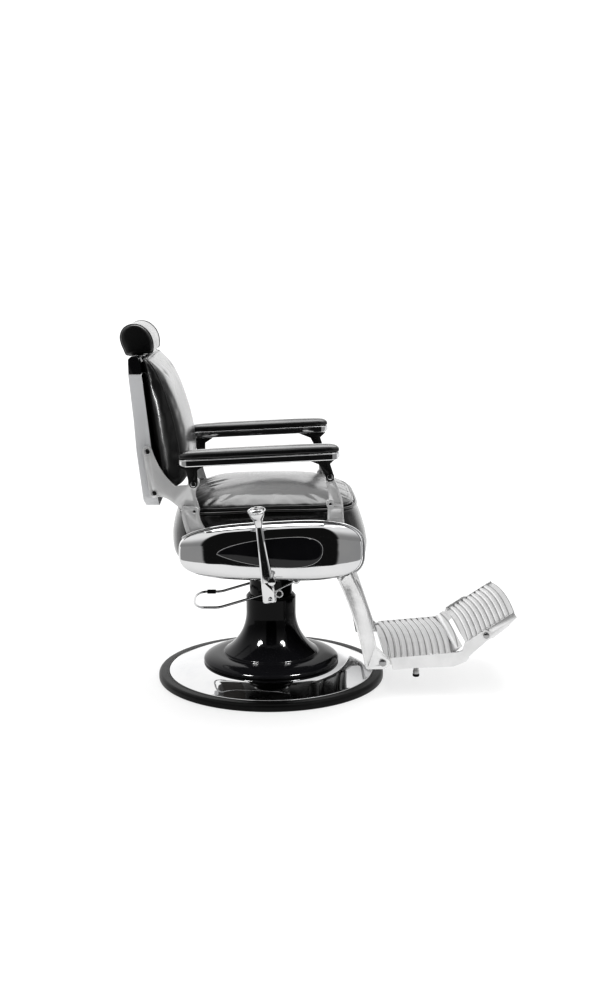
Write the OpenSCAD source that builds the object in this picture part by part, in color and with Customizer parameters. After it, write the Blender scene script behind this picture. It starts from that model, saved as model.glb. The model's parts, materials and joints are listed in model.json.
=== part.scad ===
// Hydraulic barber chair: a swivelling, lifting seat on a round base, with a reclining back,
// linked armrests, a leg rest that follows the back and a toe board that flips over.
// +X is the chair's front, +Z is up, the origin is the centre of the base on the floor.
// Side pieces are modelled on the chair's right (-Y) and mirrored for the left.

/* [Base] */
// Diameter of the base over its rubber rim
base_d = 700; // [660:10:760]
// Width of the rubber rim
rim_w = 32; // [24:1:40]
// Height of the rubber rim
rim_h = 24; // [18:1:30]
// Thickness of the floor plate
plate_t = 10; // [8:1:14]
// Wall of the chromed dish
dish_t = 3; // [2:0.5:4]
// Height of the dish's crown above the floor
dish_h = 50; // [44:1:60]
// Diameter of the pedestal's lower flange
flange_d = 420; // [390:5:440]
// Diameter of the pedestal's upper bell
bell_d = 290; // [270:2:310]
// Height of the bell's shoulder above the floor
bell_h = 84; // [82:1:94]
// Diameter of the pedestal's neck
neck_d = 154; // [150:1:170]
// Height of the neck's top above the floor
neck_h = 257; // [250:1:280]
// Wall of the pedestal casting
pedestal_t = 10; // [8:1:14]

/* [Lift] */
// Diameter of the sliding column tube
tube_d = 132; // [120:1:134]
// Wall of the column tube
tube_t = 6; // [4:1:8]
// Length of column tube that shows when the chair is lowest
tube_show = 61; // [40:1:70]
// Diameter of the hydraulic ram
ram_d = 56; // [40:1:70]
// Depth of the column tube inside the pedestal
tube_depth = 217; // [180:1:225]
// Thickness of the column head
head_t = 12; // [8:1:16]
// Diameter of the swivel spigot
spigot_d = 44; // [36:1:60]

/* [Seat] */
// Length of the seat's upholstery
seat_len = 582; // [550:1:600]
// Width of the seat's upholstery
seat_w = 512; // [480:2:512]
// Height of the upholstered seat box
seat_box_h = 150; // [140:1:156]
// Height of the top cushion over its welt
cushion_h = 74; // [66:1:90]
// Radius of the welt
welt_r = 4.2; // [3:0.1:4.4]

/* [Side casings] */
// Length of a side casing
casing_len = 526; // [500:1:540]
// Height of a side casing at its middle
casing_h = 156; // [146:1:164]
// Thickness of a side casing
casing_t = 63; // [50:1:70]
// Wall of a side casing
casing_wall = 6; // [5:0.5:9]
// Thickness of the gloss inlay
inlay_t = 4; // [2:0.5:6]
// Width of the chrome bead over a casing
bead_w = 5; // [4:0.5:7]

/* [Armrests] */
// Distance of an armrest's middle line from the seat's side
arm_out = 44; // [40:1:54]
// Length of an armrest
arm_len = 452; // [420:1:470]
// Width of an armrest
arm_w = 62; // [54:1:70]
// Height of the armrest's tray
tray_h = 21; // [18:1:26]
// Thickness of the arm pad
pad_h = 24; // [20:1:32]
// Slope of the armrest
arm_slope = 2.5; // [0:0.5:5]
// Length of the parallel links, pivot to pivot
link_len = 79; // [74:1:86]
// Thickness of the posts and links
post_t = 24; // [20:1:26]
// Diameter of the arm bolts
arm_bolt_d = 9; // [8:0.5:12]
// Diameter of the knee pins
knee_pin_d = 10; // [8:0.5:12]

/* [Backrest] */
// Width of the back shell
shell_w = 472; // [440:2:476]
// Wall of the back shell
shell_t = 3; // [2:0.5:4]
// Lean of the back from upright
back_lean = 6.3; // [4:0.1:8]
// Height of the back shell
shell_h = 380; // [360:1:400]
// Height of the back cushion
back_h = 380; // [360:1:384]
// Width of the back cushion
back_w = 466; // [430:2:470]
// Thickness of the back brackets
bracket_t = 13; // [10:1:13]
// Width of the headrest
head_w = 260; // [220:5:300]
// Width of the headrest's flat post
post_bar_w = 38; // [30:1:50]
// Thickness of the headrest's flat post
post_bar_t = 7; // [5:0.5:9]

/* [Leg rest] */
// Diameter of the leg rest's shaft
leg_shaft_d = 16; // [12:1:20]
// Distance between the leg arms' outer faces
leg_gauge = 408; // [390:2:410]
// Thickness of a leg arm
leg_t = 24; // [18:1:28]
// Width of the foot platform
foot_w = 400; // [380:2:400]
// Length of the foot platform's deck
foot_len = 212; // [190:1:220]
// Crown of the ribbed deck across its width
foot_crown = 11; // [6:1:16]
// Pitch of the cast ribs
rib_pitch = 19; // [16:1:24]
// Height of a rib over the deck
rib_h = 5; // [3:0.5:6]
// Length of the toe board
toe_len = 182; // [160:1:188]
// Slope of the toe board at rest
toe_slope = 33; // [28:1:36]

/* [Levers] */
// Diameter of the recline lever's shaft
lever_shaft_d = 15; // [10:1:15]
// Length of the recline lever's blade
lever_len = 222; // [200:1:240]
// Diameter of the cup knob at its rim
cup_d = 52; // [46:1:60]
// Diameter of the pump bail's rod
bail_rod_d = 8; // [7:0.5:10]
// Distance between the bail's two rods
bail_gauge = 190; // [186:2:210]

/* [Hidden] */
$fn = 64;
fit = 0.3;                // gap between pieces that face each other
run = 0.05;               // radial clearance of a running fit
over = 1;                 // overshoot of a cut
base_r = base_d / 2;
plate_r = base_r - rim_w;
flange_r = flange_d / 2;
bell_r = bell_d / 2;
neck_r = neck_d / 2;
tube_r = tube_d / 2;
bore_r = tube_r + 4;
hub_r = 110;
base_bolt_ring = 90;
base_bolts_n = 6;
base_bolt_r = 6;
base_bolt_head_r = 10;
base_bolt_head_h = 7;
base_bolt_len = 34;
seal_h = 5;
barrel_r = 44;
barrel_h = neck_h - 27;
head_r = 74;
head_z = neck_h + tube_show;
bearing_h = 6;
hub_z = head_z + head_t + bearing_h + fit;
hub_h = 35.7;
frame_z = hub_z + hub_h;              // underside of the frame's plate
frame_t = 6;
side_y = max(seat_w, shell_w + 40) / 2; // widest of the upholstery and the brackets' room
rail_y = side_y - 6;
rail_h = 128;
beam_h = 18;
board_t = 13.7;
board_z = frame_z + frame_t + beam_h;
seat_z = board_z + board_t + fit;     // underside of the upholstery
seat_back_x = -294;
seat_front_x = seat_back_x + seat_len;
seat_mid_x = (seat_back_x + seat_front_x) / 2;
welt_z = seat_z + seat_box_h;
casing_y = side_y + 3;
casing_out = casing_y + casing_t;
casing_z = seat_z + 48;
casing_mid_x = seat_mid_x;
post_y = side_y + 8;
post_out = post_y + post_t;
lap_y = post_y + post_t / 2;
rear_bolt = [-221, seat_z + 245];
front_bolt = [165, seat_z + 264];
link_lean = 2;
link_v = [-link_lean, sqrt(pow(link_len, 2) - pow(link_lean, 2))];
rear_knee = rear_bolt - link_v;
front_knee = front_bolt - link_v;
strut_y = post_y + 11;
strut_t = 10;
arm_y = side_y + arm_out;
arm_mid = [-34, seat_z + 308];
bracket_out = side_y + 7;
bracket_y = bracket_out - bracket_t;
shell_low = [-322, seat_z + 171];     // lower front edge of the back shell
lean_dx = -tan(back_lean);
leg_pivot = [seat_front_x - 73, frame_z + 13];
leg_out = leg_gauge / 2;
leg_in = leg_out - leg_t;
foot_bolt = leg_pivot + [115, -287];
foot_start = leg_pivot + [125, -275];
foot_slope = 4.5;
foot_half = foot_w / 2;
skirt_t = 8;
skirt_h = 37;
toe_hinge = leg_pivot + [423, -207];
deck_t = 6;
rib_first = 22;           // plain margins of a ribbed deck, at its start and its end
rib_last = 18;
toe_pitch = 0.85 * rib_pitch;
toe_half = foot_half - skirt_t - 2;
toe_low = 64;
toe_round = 1500;        // radius of the toe board's outer end, in plan
toe_face = 10.4;
toe_bolt_d = 10;
crown_r = (pow(foot_half, 2) + pow(foot_crown, 2)) / (2 * foot_crown);
pump_pivot = [75, head_z + 8];
bail_r = bail_rod_d / 2;
bail_y = bail_gauge / 2;
bail_knee = [10, pump_pivot[1] - 34];
bail_heel = [-158, pump_pivot[1] - 83];
bail_end = [-236, bail_heel[1]];
bail_bend = 24;
bail_corner = 34;         // length and width of the loop's corners
bail_round = 80;
sleeve_len = 27;
pump_pin_r = 5;
lever_pivot = [-2, frame_z + frame_t + beam_h / 2];
lever_y = casing_out + 14;
lever_t = 12;
lever_lean = 7.7;

// ---- outlines ----------------------------------------------------------------------------

// Points of an arc about [cx, cy] from angle a0 to a1
function arc(c, r, a0, a1, n = 10) =
    [for (i = [0:n]) let (a = a0 + (a1 - a0) * i / n) [c[0] + r * cos(a), c[1] + r * sin(a)]];

// Points of a cubic curve from a to d, its first point left out
function bez(a, b, c, d, n = 6) =
    [for (i = [1:n]) let (t = i / n)
        pow(1 - t, 3) * a + 3 * pow(1 - t, 2) * t * b + 3 * (1 - t) * t * t * c + t * t * t * d];

// Signed power, the curve of a superellipse
function spow(v, e) = sign(v) * pow(abs(v), e);

// One closed ring of a soft form at height z: length 2*ax about cx, width 2*ay
function soft_ring(z, x0, x1, ay, e = 0.55, n = 40) =
    [for (i = [0:n - 1]) let (a = 360 * i / n)
        [(x0 + x1) / 2 + (x1 - x0) / 2 * spow(cos(a), e), ay * spow(sin(a), e), z]];

// Closed skin over a stack of rings, each counter-clockwise seen from above
module loft(rings) {
    n = len(rings[0]);
    m = len(rings);
    sides = [for (j = [0:m - 2], i = [0:n - 1])
        let (a = j * n + i, b = j * n + (i + 1) % n) each [[a, a + n, b + n], [a, b + n, b]]];
    bottom = [for (i = [1:n - 2]) [0, i, i + 1]];
    top = [for (i = [1:n - 2]) [(m - 1) * n, (m - 1) * n + i + 1, (m - 1) * n + i]];
    polyhedron(points = [for (r = rings) each r], faces = concat(sides, bottom, top));
}

// Round piping of radius r laid along a closed flat ring of points
module piping(ring, r, sides = 8) {
    n = len(ring);
    pts = [for (i = [0:n - 1])
        let (p = ring[i], q = ring[(i + 1) % n] - ring[(i + n - 1) % n],
             len_q = norm(q), out = [q[1], -q[0], 0] / len_q)
        for (k = [0:sides - 1]) p + r * (cos(360 * k / sides) * out + [0, 0, sin(360 * k / sides)])];
    faces = [for (i = [0:n - 1], k = [0:sides - 1])
        let (a = i * sides + k, b = i * sides + (k + 1) % sides,
             c = ((i + 1) % n) * sides + k, d = ((i + 1) % n) * sides + (k + 1) % sides)
        each [[a, b, d], [a, d, c]]];
    polyhedron(points = pts, faces = faces);
}

// Slab on the chair's right: an outline in X and Z, from y0 to y1 out from the middle
module slab(y0, y1) {
    rotate([90, 0, 0]) translate([0, 0, y0]) linear_extrude(y1 - y0) children();
}

// Round bar across the chair's right, from y0 to y1 out from the middle
module bar_y(p, r, y0, y1) {
    slab(y0, y1) translate(p) circle(r);
}

// Straight round rod between two points
module rod(a, b, r) {
    v = b - a;
    translate(a) rotate([0, acos(v[2] / norm(v)), atan2(v[1], v[0])]) cylinder(r = r, h = norm(v));
}

module left() {
    mirror([0, 1, 0]) children();
}

module both() {
    children();
    left() children();
}

// ---- base --------------------------------------------------------------------------------

module base_bolt_places() {
    for (i = [0:base_bolts_n - 1]) rotate(360 * i / base_bolts_n) translate([base_bolt_ring, 0, 0]) children();
}

module floor_plate() color("dimgray") difference() {
    cylinder(r = plate_r, h = plate_t, $fn = 128);
    base_bolt_places() {
        translate([0, 0, -over]) cylinder(r = base_bolt_head_r + fit, h = base_bolt_head_h + fit + over);
        cylinder(r = base_bolt_r + fit, h = plate_t + over);
    }
}

// Height of the dish's top at radius r
function dish_z(r) = rim_h + (dish_h - rim_h) * sin(90 * (plate_r - r) / (plate_r - flange_r));

module base_dish() color("silver") rotate_extrude($fn = 128) polygon(concat(
    [[plate_r - dish_t, plate_t], [plate_r - fit, plate_t]],
    [for (i = [0:8]) let (r = plate_r - fit - (plate_r - fit - flange_r) * i / 8) [r, dish_z(min(r, plate_r))]],
    [[hub_r + fit, dish_h], [hub_r + fit, dish_h - dish_t]],
    [for (i = [8:-1:0]) let (r = plate_r - dish_t - (plate_r - dish_t - flange_r) * i / 8)
        [r, dish_z(r) - dish_t]]
));

module base_rim() color("black") rotate_extrude($fn = 128) polygon(concat(
    [[plate_r, 0], [base_r - 4, 0], [base_r, 4]],
    arc([base_r - 10, rim_h - 10], 10, 0, 90, 8),
    [[plate_r + 3, rim_h], [plate_r, rim_h - 2]]
));

// Flare of the neck: an arc that leaves the neck upright and meets the bell's shoulder
flare_w = bell_r - 2 - neck_r;
flare_h = 121;
flare_a = 2 * atan(flare_w / flare_h);
flare_r = flare_h / sin(flare_a);

module pedestal() color([0.06, 0.06, 0.07]) difference() {
    rotate_extrude($fn = 128) polygon(concat(
        [[bore_r, plate_t], [hub_r, plate_t], [hub_r, dish_h + fit], [flange_r - 3, dish_h + fit]],
        [[flange_r, dish_h + 3]],
        arc([flange_r - 8, dish_h + 6], 8, 0, 68, 5),
        [[flange_r - 20, dish_h + 20], [flange_r - 38, dish_h + 25], [bell_r + 3, dish_h + 26]],
        arc([bell_r - 4, bell_h - 3], 4, -10, 48, 3),
        arc([neck_r + flare_r, bell_h + flare_h], flare_r, 180 + flare_a, 180, 12),
        [[neck_r, neck_h - 3], [neck_r - 3, neck_h], [bore_r, neck_h]]
    ));
    rotate_extrude($fn = 128) polygon(concat(
        [[bore_r - over, dish_h + 12], [bell_r - pedestal_t, dish_h + 12], [bell_r - pedestal_t, bell_h - pedestal_t]],
        arc([neck_r + flare_r, bell_h + flare_h], flare_r + pedestal_t, 180 + flare_a, 180 + flare_a / 3, 8),
        [[bore_r - over, bell_h + flare_h * 0.62]]
    ));
    base_bolt_places() translate([0, 0, plate_t - over])
        cylinder(r = base_bolt_r + run, h = base_bolt_len + 2 * over);
}

module base_bolts() color("gray") base_bolt_places() {
    translate([0, 0, 1]) cylinder(r = base_bolt_head_r, h = base_bolt_head_h - 1, $fn = 6);
    translate([0, 0, 1]) cylinder(r = base_bolt_r, h = base_bolt_len + plate_t - 1 - fit);
}

module neck_seal() color("black") rotate_extrude($fn = 96) polygon([
    [tube_r + run, neck_h + 0.1], [neck_r - 4, neck_h + 0.1], [neck_r - 5, neck_h + seal_h - 3],
    [tube_r + 3, neck_h + seal_h], [tube_r + run, neck_h + seal_h]
]);

module cylinder_barrel() color("dimgray") difference() {
    union() {
        translate([0, 0, plate_t]) cylinder(r = barrel_r, h = barrel_h - plate_t);
        translate([0, 0, barrel_h - 14]) cylinder(r = barrel_r + 6, h = 14);
    }
    translate([0, 0, plate_t + 12]) cylinder(r = ram_d / 2 + run, h = barrel_h);
}

// ---- column ------------------------------------------------------------------------------

module column_tube() color([0.06, 0.06, 0.07]) difference() {
    translate([0, 0, neck_h - tube_depth]) cylinder(r = tube_r, h = head_z - neck_h + tube_depth, $fn = 96);
    translate([0, 0, neck_h - tube_depth - over])
        cylinder(r = tube_r - tube_t, h = head_z - neck_h + tube_depth + 2 * over, $fn = 96);
}

module ram() color("lightgray")
    translate([0, 0, plate_t + 30]) cylinder(r = ram_d / 2, h = head_z - plate_t - 30);

module column_head() color("gray") {
    translate([0, 0, head_z]) cylinder(r = head_r, h = head_t, $fn = 96);
    translate([0, 0, head_z + head_t]) cylinder(r = spigot_d / 2, h = frame_z - head_z - head_t + frame_t);
}

module swivel_bearing() color("silver") translate([0, 0, head_z + head_t]) difference() {
    cylinder(r = 60, h = bearing_h);
    translate([0, 0, -over]) cylinder(r = spigot_d / 2 + run, h = bearing_h + 2 * over);
}

// ---- seat --------------------------------------------------------------------------------

// Outline of a side casing, a pill that is taller at its front, drawn in by cut and,
// where that differs, by end_cut at its ends
function casing_top(t) = casing_h * 0.475 + 14 * t;
function casing_low(t) = casing_h * 0.525 + 6 * t;
function casing_edge(cut, n = 56, end_cut = -1) =
    [for (i = [0:n - 1]) let (a = 360 * i / n, c = spow(cos(a), 0.625), s = spow(sin(a), 0.625))
        [casing_mid_x + (casing_len / 2 - (end_cut < 0 ? cut : end_cut)) * c,
         casing_z + ((s > 0 ? casing_top(c) : casing_low(c)) - cut) * s]];

module lug(p, r, y0, y1, top) {
    slab(y0, y1) {
        translate(p) circle(r);
        translate([p[0] - r, p[1]]) square([2 * r, top - p[1]]);
    }
}

module seat_frame() color("dimgray") difference() {
    union() {
        translate([0, 0, hub_z]) cylinder(r = 60, h = hub_h + over);
        translate([-130, -rail_y, frame_z]) cube([leg_pivot[0] + 100, 2 * rail_y, frame_t]);
        for (x = [-130, 120]) translate([x, -rail_y, frame_z + frame_t]) cube([30, 2 * rail_y, beam_h]);
        both() {
            slab(rail_y, rail_y + frame_t) polygon([
                [-130, frame_z], [leg_pivot[0] - 30, frame_z], [leg_pivot[0], frame_z + 50],
                [leg_pivot[0], frame_z + rail_h],
                [-225, frame_z + rail_h], [-225, frame_z + 70], [-190, frame_z + 45]
            ]);
            lug(leg_pivot, 18, leg_out + 2, leg_out + 12, frame_z + frame_t + 12);
            slab(leg_out + 2, leg_out + 12) translate([leg_pivot[0] - 65, frame_z]) square([50, frame_t]);
            lug(pump_pivot, 12, bail_y - 14, bail_y - bail_r - fit, frame_z);
            bar_y(pump_pivot, pump_pin_r, bail_y - 14, bail_y + bail_r + 3);
        }
    }
    translate([0, 0, hub_z - over]) cylinder(r = spigot_d / 2 + run, h = hub_h + frame_t + 3 * over);
    bar_y(lever_pivot, lever_shaft_d / 2 + run, rail_y - over, rail_y + frame_t + over);
    both() bar_y(leg_pivot, leg_shaft_d / 2 + run, leg_out, leg_out + 14);
    for (x = [-55, 95], y = [-150, 150]) translate([x, y, frame_z - over]) cylinder(r = 40, h = frame_t + 2 * over);
}

module seat_board() color("burlywood") 
    translate([seat_back_x + 49, 11 - seat_half, board_z]) cube([seat_len - 151, seat_w - 22, board_t]);

seat_half = seat_w / 2;
box_wall = 36;

function box_ring(z, x0, x1, cut) = soft_ring(seat_z + z, seat_back_x + x0, seat_front_x - x1, seat_half - cut, 0.42);

// Padded box, hollow over the seat board
module seat_base() color([0.05, 0.05, 0.05]) difference() {
    loft([
        box_ring(0, 22, 12, 14), box_ring(8, 13, 5, 11), box_ring(45, 1, 0, 8), box_ring(80, 1, 7, 7),
        box_ring(115, 8, 20, 4), box_ring(seat_box_h - 6, 20, 34, 0), box_ring(seat_box_h - 2, 25, 39, 5),
        box_ring(seat_box_h, 27, 41, 7)
    ]);
    translate([0, 0, seat_z - over]) linear_extrude(seat_box_h - box_wall + over)
        polygon([for (p = box_ring(0, box_wall + 20, box_wall + 20, box_wall + 14)) [p[0], p[1]]]);
}

module seat_welt() color([0.04, 0.04, 0.04])
    piping(box_ring(seat_box_h + 0.75, 21.5, 35.5, 1.5), welt_r);

// Top cushion: drawn in at the welt, full at its shoulder, crowned behind the middle.
// Its rings are given for a cushion of height crown_full.
crown_full = 84;
function crown_ring(h, x0, x1, cut) =
    soft_ring(welt_z + 1.5 + h * cushion_h / crown_full, seat_back_x + x0, seat_front_x - x1, seat_half - cut, 0.5);

module seat_cushion() color([0.05, 0.05, 0.05]) loft([
    crown_ring(0, 27, 41, 7), crown_ring(2, 25, 39, 5), crown_ring(6.5, 22, 36, 1),
    crown_ring(18, 30, 45, 1), crown_ring(32, 46, 62, 8), crown_ring(45, 68, 84, 22), crown_ring(57, 106, 112, 48),
    crown_ring(67, 156, 140, 84), crown_ring(75, 206, 174, 128), crown_ring(80, 250, 206, 178),
    crown_ring(82.5, 290, 238, 222)
]);

// Domed shell: each step of its skin is a share of the thickness, a cut and an end cut
module casing_body() difference() {
    rotate([90, 0, 0]) loft([
        for (s = [[0, 6, 6], [0.1, 1, 1], [0.22, 0, 0], [0.57, 0, 2], [0.7, 2, 14], [0.82, 6, 33],
                  [0.915, 13, 57], [0.97, 20, 80], [1, 30, 104]])
            [for (p = casing_edge(s[1], 56, s[2])) [p[0], p[1], casing_y + s[0] * casing_t]]
    ]);
    slab(casing_y - over, casing_y + 0.5 * casing_t) polygon(casing_edge(casing_wall));
    slab(casing_y, casing_y + 0.72 * casing_t) polygon(casing_edge(casing_wall + 8, 56, 36));
    slab(casing_y, casing_out - casing_wall) polygon(casing_edge(casing_wall + 22, 56, 88));
}

module side_casing_right() color("silver") difference() {
    casing_body();
    bar_y(lever_pivot, lever_shaft_d / 2 + 1, casing_y - over, casing_out + over);
}

module side_casing_left() color("silver") left() casing_body();

// Band of the bright bead that runs over the casing's top and round its front end
function bead_band(cut0, cut1, n = 56) = concat(
    [for (i = [-5:24]) casing_edge(cut0, n)[(i + n) % n]],
    [for (i = [24:-1:-5]) casing_edge(cut1, n)[(i + n) % n]]
);

module casing_beads() color("silver") both()
    slab(post_out + 2, post_out + 2 + bead_w) polygon(bead_band(-fit, -fit - bead_w));

// Teardrop outline of the inlay
function teardrop(grow) = let (x = casing_mid_x, z = casing_z) concat(
    bez([x - 153 - grow, z - 7], [x - 147 - grow, z + 12 + grow], [x - 57, z + 36 + grow], [x + 63, z + 40 + grow]),
    bez([x + 63, z + 40 + grow], [x + 123, z + 42 + grow], [x + 146 + grow, z + 27], [x + 146 + grow, z + 2]),
    bez([x + 146 + grow, z + 2], [x + 146 + grow, z - 28], [x + 123, z - 50 - grow], [x + 43, z - 48 - grow]),
    bez([x + 43, z - 48 - grow], [x - 37, z - 45 - grow], [x - 117, z - 26 - grow], [x - 153 - grow, z - 7])
);

module casing_inlays() color([0.04, 0.04, 0.04]) {
    difference() {
        slab(casing_out, casing_out + inlay_t) polygon(teardrop(0));
        bar_y(lever_pivot, lever_shaft_d / 2 + 1, casing_out - over, casing_out + inlay_t + over);
    }
    left() slab(casing_out, casing_out + inlay_t) polygon(teardrop(0));
}

module post_foot() {
    slab(post_y - over, post_out + over) polygon(casing_edge(-fit));
}

// Rear post: foot on the casing, knee lug that carries the back
module rear_post() color("silver") {
    k = rear_knee;
    difference() {
        slab(post_y, post_out) polygon(concat(
            [[k[0] - 30, k[1] - 90], [k[0] + 46, k[1] - 90], [k[0] + 36, k[1] - 58]],
            bez([k[0] + 36, k[1] - 58], [k[0] + 22, k[1] - 44], [k[0] + 14, k[1] - 26], [k[0] + 13, k[1]]),
            arc(k, 13, 5, 80, 6),
            [[k[0] - 30, k[1] + 15], [k[0] - 37, k[1] + 6]],
            bez([k[0] - 37, k[1] + 6], [k[0] - 36, k[1] - 20], [k[0] - 30, k[1] - 40], [k[0] - 22, k[1] - 64])
        ));
        slab(post_out - 4, post_out + over) polygon([
            [k[0] - 28, k[1] + 4], [k[0] - 22, k[1] - 30], [k[0] - 12, k[1] - 58],
            [k[0] + 20, k[1] - 52], [k[0] + 6, k[1] - 30], [k[0] + 2, k[1] + 2]
        ]);
        post_foot();
        bar_y(k, knee_pin_d / 2 + run, post_y - over, post_out + over);
    }
}

module rear_post_right() rear_post();
module rear_post_left() left() rear_post();

// Front socket: foot on the casing, outer half of the knee's lap joint
module front_socket() color("silver") {
    k = front_knee;
    difference() {
        union() {
            slab(post_y, post_out) polygon([
                [k[0] - 9, k[1] - 75], [k[0] + 43, k[1] - 75], [k[0] + 38, k[1] - 40],
                [k[0] + 36, k[1] - 7.5], [k[0] - 8, k[1] - 7.5]
            ]);
            bar_y(k, 12, lap_y + fit, post_out);
        }
        post_foot();
        slab(post_y - over, lap_y + fit) translate(k) circle(12.6);
        slab(post_out - 4, post_out + over) polygon([
            [k[0] + 12, k[1] - 14], [k[0] + 31, k[1] - 14], [k[0] + 33, k[1] - 44], [k[0] - 2, k[1] - 44],
            [k[0], k[1] - 18]
        ]);
        bar_y(k, knee_pin_d / 2 + run, post_y - over, post_out + over);
    }
}

module front_socket_right() front_socket();
module front_socket_left() left() front_socket();

module legrest_shaft() color("gray") both()
    bar_y(leg_pivot, leg_shaft_d / 2, leg_in - 4, leg_out + 16);

// ---- pump bail ---------------------------------------------------------------------------

// Direction from a to b, as an angle in the side view
function heading(a, b) = atan2(b[1] - a[1], b[0] - a[0]);

// Unit vector along an angle in the side view
function along(a) = [cos(a), sin(a)];

// Where a bend at p, from heading h0 to a smaller heading h1, begins, and its arc of points
function bend_start(p, h0, h1) = p - bail_bend * tan((h0 - h1) / 2) * along(h0);
function bend_arc(p, h0, h1, n = 4) =
    arc(bend_start(p, h0, h1) + bail_bend * along(h0 - 90), bail_bend, h0 + 90, h1 + 90, n);

bail_h0 = heading(pump_pivot, bail_knee) + 360;
bail_h1 = heading(bail_knee, bail_heel) + 360;

// Route of the bail's rod on the right, from its eye to the middle of the loop's end
bail_side = concat([pump_pivot + 8 * along(bail_h0)], bend_arc(bail_knee, bail_h0, bail_h1),
    bend_arc(bail_heel, bail_h1, 180));
bail_turn = [for (i = [0:10]) let (a = 270 - 9 * i)
    [bail_end[0] + bail_corner * (1 + cos(a)), bail_round * (1 + sin(a)) - bail_y]];
bail_route = concat(
    [for (p = bail_side) [p[0], -bail_y, p[1]]], [for (p = bail_turn) [p[0], p[1], bail_heel[1]]],
    [for (i = [10:-1:0]) [bail_turn[i][0], -bail_turn[i][1], bail_heel[1]]],
    [for (i = [len(bail_side) - 1:-1:0]) [bail_side[i][0], bail_y, bail_side[i][1]]]
);

// Round rod of radius r swept along a route
module swept_rod(route, r, sides = 16) {
    last = len(route) - 1;
    loft([for (i = [0:last])
        let (t = route[min(i + 1, last)] - route[max(i - 1, 0)],
             u = cross(t, [0, 0, 1]) / norm(cross(t, [0, 0, 1])), v = cross(u, t) / norm(t))
        [for (k = [0:sides - 1]) route[i] + r * (cos(360 * k / sides) * v + sin(360 * k / sides) * u)]]);
}

module pump_bail() color("silver") difference() {
    union() {
        swept_rod(bail_route, bail_r);
        both() bar_y(pump_pivot, 11, bail_y - bail_r, bail_y + bail_r);
    }
    both() bar_y(pump_pivot, pump_pin_r + run, bail_y - bail_r - over, bail_y + bail_r + over);
}

module bail_sleeve() color([0.05, 0.05, 0.05])
    translate([bail_end[0] + bail_corner + 1, bail_y, bail_heel[1]]) rotate([0, 90, 0]) difference() {
        cylinder(r = bail_r + 3, h = sleeve_len);
        translate([0, 0, -over]) cylinder(r = bail_r + run, h = sleeve_len + 2 * over);
    }

// ---- recline lever -----------------------------------------------------------------------

module lever_frame() {
    translate([lever_pivot[0] - 5, -lever_y, lever_pivot[1] - 66]) rotate([0, -lever_lean, 0]) children();
}

module recline_lever() color("silver") difference() {
    union() {
        lever_frame() rotate([90, 0, 0]) linear_extrude(lever_t) polygon([
            [-19, 4], [-16, 0], [16, 0], [20, 4], [10.5, lever_len], [-10.5, lever_len]
        ]);
        bar_y(lever_pivot, 15, lever_y, lever_y + lever_t);
    }
    bar_y(lever_pivot, lever_shaft_d / 2 + run, lever_y - over, lever_y + lever_t + over);
}

module lever_cup() color("silver") lever_frame() translate([0, -lever_t / 2, lever_len + fit + 1.3])
    rotate([12, 0, 0]) rotate_extrude() polygon([
        [0, 0], [11, 0], [12.5, 8], [17, 22], [cup_d / 2 - 2, 42], [cup_d / 2, 46], [cup_d / 2, 50],
        [cup_d / 2 - 3, 51.5], [cup_d / 2 - 5, 47], [0, 43]
    ]);

module lever_shaft() color("gray") {
    bar_y(lever_pivot, lever_shaft_d / 2, 70, lever_y + lever_t + 3);
    bar_y(lever_pivot, 11, lever_y + lever_t + fit, lever_y + lever_t + 9);
}

module lever_bolt() color("silver") lever_frame() translate([2, -lever_t - fit, 9]) rotate([90, 0, 0]) {
    cylinder(r = 6, h = 4);
}

// ---- backrest ----------------------------------------------------------------------------

// X of the shell's front edge at height z
function shell_x(z) = shell_low[0] + lean_dx * (z - shell_low[1]);

// Side outline of the back shell, drawn in by t
module shell_profile(t) {
    top = shell_low[1] + shell_h;
    low = shell_low[1];
    mouth = t > 0 ? over : 0;
    polygon([
        [shell_x(low + t) + mouth, low + t], [shell_x(top - t) + mouth, top - t],
        [shell_x(top) - 37 + t, top - t], [shell_x(low + 250) - 39 + t, low + 250],
        [shell_x(low + 160) - 43 + t, low + 160], [shell_x(low) - 44 + t, low + 20],
        [shell_x(low) - 36 + t, low + t]
    ]);
}

// Front outline of the back shell, drawn in by t
module shell_face(t) {
    top = shell_low[1] + shell_h - t;
    low = shell_low[1] + t;
    half = shell_w / 2 - t;
    translate([-500, 0, 0]) rotate([90, 0, 90]) linear_extrude(300) polygon(concat(
        arc([half - 30, low + 30], 30, -90, 0, 6), arc([half - 4, top - 4], 4, 0, 90, 3),
        arc([-half + 4, top - 4], 4, 90, 180, 3), arc([-half + 30, low + 30], 30, 180, 270, 6)
    ));
}

module back_shell() color("silver") difference() {
    intersection() {
        slab(-shell_w / 2, shell_w / 2) shell_profile(0);
        shell_face(0);
    }
    intersection() {
        slab(-shell_w / 2, shell_w / 2) shell_profile(shell_t);
        shell_face(shell_t);
    }
    post_frame() translate([-post_bar_t / 2 - 4, -post_bar_w / 2 - 4, -60])
        cube([post_bar_t + 8, post_bar_w + 8, 120]);
    both() for (p = [bolt_high, bolt_low]) bar_y(p, 4 + run, shell_w / 2 - 20, shell_w / 2 + over);
}

bolt_high = [-350, shell_low[1] + 164];
bolt_low = [-333, shell_low[1] + 44];

module back_board() color("burlywood") {
    low = shell_low[1] + shell_t + 22;
    high = shell_low[1] + shell_h - shell_t - 22;
    half = shell_w / 2 - shell_t - 12;
    slab(-half, half) polygon([
        [shell_x(low) - 10, low], [shell_x(low), low], [shell_x(high), high], [shell_x(high) - 10, high]
    ]);
}

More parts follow.
